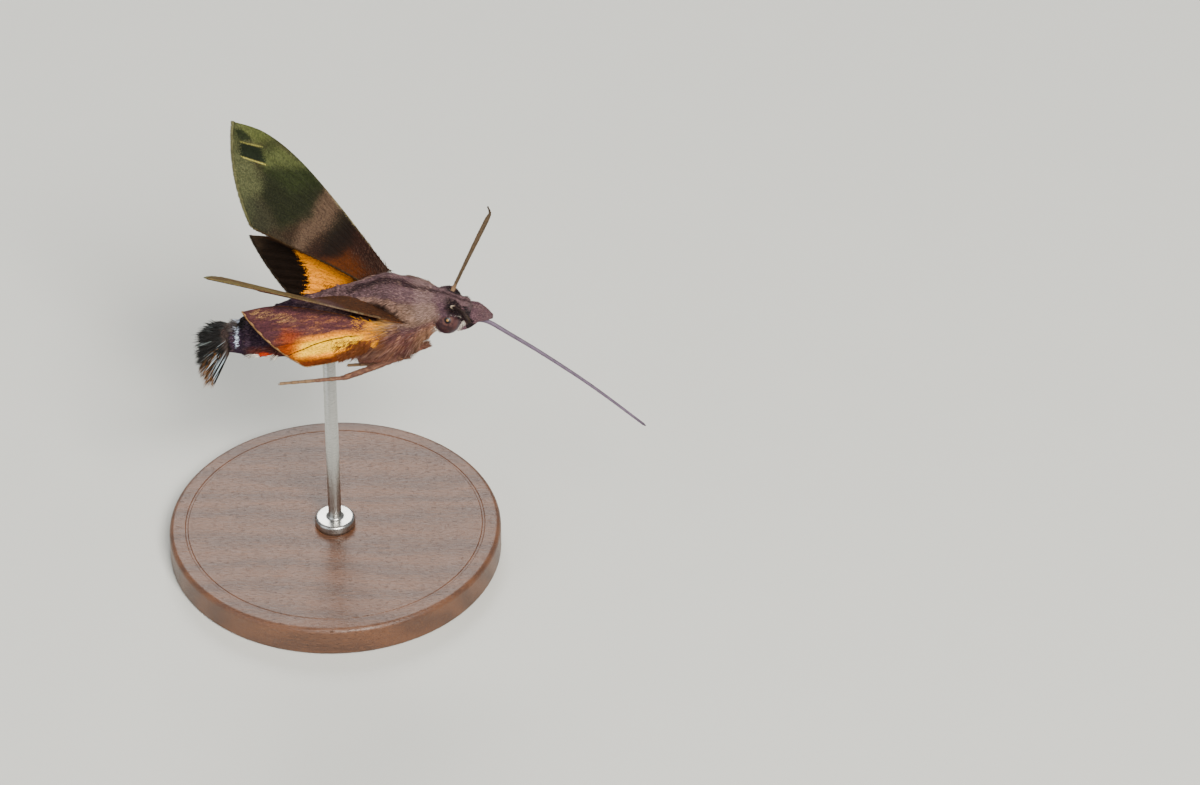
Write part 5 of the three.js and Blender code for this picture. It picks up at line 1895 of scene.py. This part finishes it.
class Studio:
    """The plain floor, the soft lights and the camera, which looks down on the moth's right side."""

    ELEVATION = 38.0
    DISTANCE = 600.0
    LENS = 162.0
    AIM = THORAX + np.array([23.333, -5.575, -7.136])

    def floor(self) -> bpy.types.Object:
        """Makes the pale floor."""
        size = 1500.0
        points = np.array([[-size, -size, 0], [size, -size, 0], [size, size, 0], [-size, size, 0]])
        g = Graph("floor", 0.9)
        x, y, z = g.place()
        cloud = g.noise(g.vector(x, y, z), 0.08, 3.0)
        material = g.finish(
            g.mix(cloud * 0.3, "#cfd0ca", "#c4c6c1"), None, g.noise(g.vector(x, y, z), 1.2, 3.0), 0.02
        )
        made = Shell(points - np.array([0, 0, 0.02]), np.array([[0, 1, 2, 3]])).make(
            "floor", [material], "Plan", False
        )
        return made

    def light(
        self, name: str, place: Sequence[float], size: float, power: float, colour: Sequence[float]
    ) -> None:
        """Adds a square light that faces the moth.

        Args:
            name: Its name.
            place: Where it is, in metres.
            size: Its side, in metres.
            power: Its power in watts.
            colour: Its colour.
        """
        data = bpy.data.lights.new(name, "AREA")
        data.size, data.energy, data.color = size, power, colour
        made = bpy.data.objects.new(name, data)
        made.location = Vector(place)
        made.rotation_mode = "QUATERNION"
        made.rotation_quaternion = (Vector((0, 0, 0.03)) - Vector(place)).to_track_quat("-Z", "Y")
        made.visible_camera = False
        bpy.context.scene.collection.objects.link(made)

    def lights(self) -> None:
        """Adds the key, fill and rim lights and the pale surroundings."""
        self.light("key", (0.28, -0.72, 0.78), 0.4, 23.0, (1.0, 0.96, 0.9))
        self.light("fill", (-0.9, -0.6, 0.45), 0.9, 4.5, (0.9, 0.95, 1.0))
        self.light("back", (-0.1, 0.9, 0.8), 0.5, 9.0, (1.0, 0.98, 0.95))
        world = bpy.data.worlds.new("studio")
        world.use_nodes = True
        background = world.node_tree.nodes["Background"]
        background.inputs["Color"].default_value = (0.92, 0.95, 1.0, 1.0)
        background.inputs["Strength"].default_value = 0.26
        bpy.context.scene.world = world

    def camera(self) -> None:
        """Adds the camera."""
        e = math.radians(self.ELEVATION)
        back = Vector((0, -math.cos(e), math.sin(e)))
        data = bpy.data.cameras.new("camera")
        data.lens, data.sensor_width = self.LENS, 36.0
        data.clip_start, data.clip_end = 0.01, 10.0
        made = bpy.data.objects.new("camera", data)
        made.location = Vector(self.AIM * MM) + back * (self.DISTANCE * MM)
        made.rotation_mode = "QUATERNION"
        made.rotation_quaternion = (-back).to_track_quat("-Z", "Y")
        bpy.context.scene.collection.objects.link(made)
        bpy.context.scene.camera = made


# The whole moth.


class Moth:
    """Makes each piece, and hides the model's parts that it replaces."""

    def __init__(self) -> None:
        self.random = np.random.default_rng(20)
        self.body, self.eye, self.palp = Body(), Eye(), Palp()

    def add(
        self,
        name: str,
        shell: Shell,
        materials: Sequence[bpy.types.Material],
        slot: str,
        uv: str = "OFBake",
        nodes: Sequence[str] = (),
        smooth: bool = True,
    ) -> bpy.types.Object:
        """Makes a piece, and has it ride on the body and replace its nodes."""
        made = shell.make(name, materials, uv, smooth)
        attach(made, "root")
        if nodes:
            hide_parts(*nodes)
        log.info("%s: %d faces", name, len(shell.faces))
        return made

    def trunk(self) -> None:
        """Makes the skin, the fur and scales over it, and the eyes."""
        skin_parts = [self.body.shell()]
        share = np.linspace(0.02, 0.99, 30)
        for side in (1, 0, -1):
            part = tube(
                self.palp.middle(share, side), self.palp.radius(share, side), 28, self.palp.breadth(side)
            )
            part.uv = self.body.plan_at(part.points)
            skin_parts.append(part)
        nodes = ["head", "thorax", "abdomen", "palp_left", "palp_right"]
        self.add("skin", Shell.join(skin_parts), [skin_material()], "fur", nodes=nodes)
        fur = fur_material()
        coat = BodyCoat(self.body, self.eye, self.random)
        for region, shell in coat.shells():
            self.add(region.name, shell, [fur], region.slot)
        for name, shell in (
            ("chest_locks", coat.chest_locks()),
            ("shoulder_locks", coat.shoulder_locks()),
            ("hinge_locks", coat.hinge_locks()),
            ("cheek_locks", coat.cheek_locks()),
            ("brow_locks", coat.brow_locks()),
            ("rump_locks", coat.rump_locks()),
            ("palp_scales", coat.palp_shell(self.palp)),
        ):
            self.add(name, shell, [fur], "fur")
        self.add("eye_rim_scales", coat.eye_rim_shell(), [fur], "fur")
        self.add("side_tufts", SideTufts().shell(self.body, self.random), [fur], "abdomen")
        eye = eye_material()
        for side, name in SIDES:
            self.add(f"eyeball_{name}", self.eye.shell(side), [eye], "eye", "EyePlan", [f"eye_{name}"])

    def limbs(self) -> None:
        """Makes the feelers, the proboscis and the legs."""
        for feeler, side in zip(FEELERS, (1, -1)):
            horn, horn_scales = feeler_material(False, side), feeler_material(True, side)
            self.add(f"{feeler.name}_shaft", feeler.shell(), [horn], "antenna", "Plan", [feeler.name])
            self.add(f"{feeler.name}_scales", feeler.bristles(self.random), [horn_scales], "antenna")
        tongue = Tongue()
        self.add("tongue", tongue.shell(), [tongue.material()], "proboscis", "Plan", ["proboscis"])
        limb, limb_scales = leg_material(False), leg_material(True)
        for leg in LEGS:
            for side, name in SIDES:
                node = f"{leg.name}_{name}"
                self.add(f"{node}_shaft", leg.shell(side), [limb], "leg", "Plan", [node])
                coat = Shell.join([leg.scales(side, self.random), leg.spurs(side)])
                self.add(f"{node}_scales", coat, [limb_scales], "leg")

    def wings(self) -> None:
        """Makes the four wings with their fringes and the hair on their hinges."""
        paints = {face: WingPaint(face).material() for face in Face}
        # The right forewing's upper face is a copy darkened by painted shade.
        fore_upper_in_shade = WingPaint(Face.FORE_UPPER, painted_shade=1.0).material()
        edged = (Face.FORE_UPPER, Face.HIND_UPPER, Face.HIND_UNDER)
        tufted = {face: WingPaint(face, True).material() for face in edged}
        for wing in WINGS:
            fore = wing.plan is FOREWING
            upper, under = (Face.FORE_UPPER, Face.FORE_UNDER) if fore else (Face.HIND_UPPER, Face.HIND_UNDER)
            slot = "forewing" if fore else "hindwing"
            top = fore_upper_in_shade if wing.name == "forewing_right" else paints[upper]
            self.add(f"{wing.name}_sheet", wing.shell(), [top, paints[under]], slot, "WingPlan", [wing.name])
            hair = [wing.fringe(self.random), wing.root_fur(self.random)]
            coat = Shell.join(hair if fore else [*hair, wing.margin_hair(self.random)])
            shown = Face.FORE_UPPER if fore else (
                Face.HIND_UNDER if wing.name.endswith("right") else Face.HIND_UPPER
            )
            self.add(f"{wing.name}_fringe", coat, [tufted[shown]], slot)

    def tail(self) -> None:
        """Makes the tail fan."""
        fan = TailFan().blades(self.random, self.body)
        self.add("tail_scales", fan, [tail_material()], "tail", nodes=["tail_fan"])

    def stand(self) -> None:
        """Makes the display stand."""
        stand = Stand()
        self.add("stand_plinth", stand.base(), [stand.wood()], "stand_base", "Plan", ["stand_base"], False)
        self.add("stand_post", stand.post(), [stand.steel()], "stand_rod", "Plan", ["stand_rod"])


def main() -> None:
    """Makes the moth, its stand and the studio."""
    logging.basicConfig(level=logging.INFO, format="%(message)s")
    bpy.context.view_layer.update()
    studio = Studio()
    studio.camera()
    studio.floor()
    studio.lights()
    moth = Moth()
    moth.trunk()
    moth.limbs()
    moth.wings()
    moth.tail()
    moth.stand()


if __name__ == "__main__":
    main()
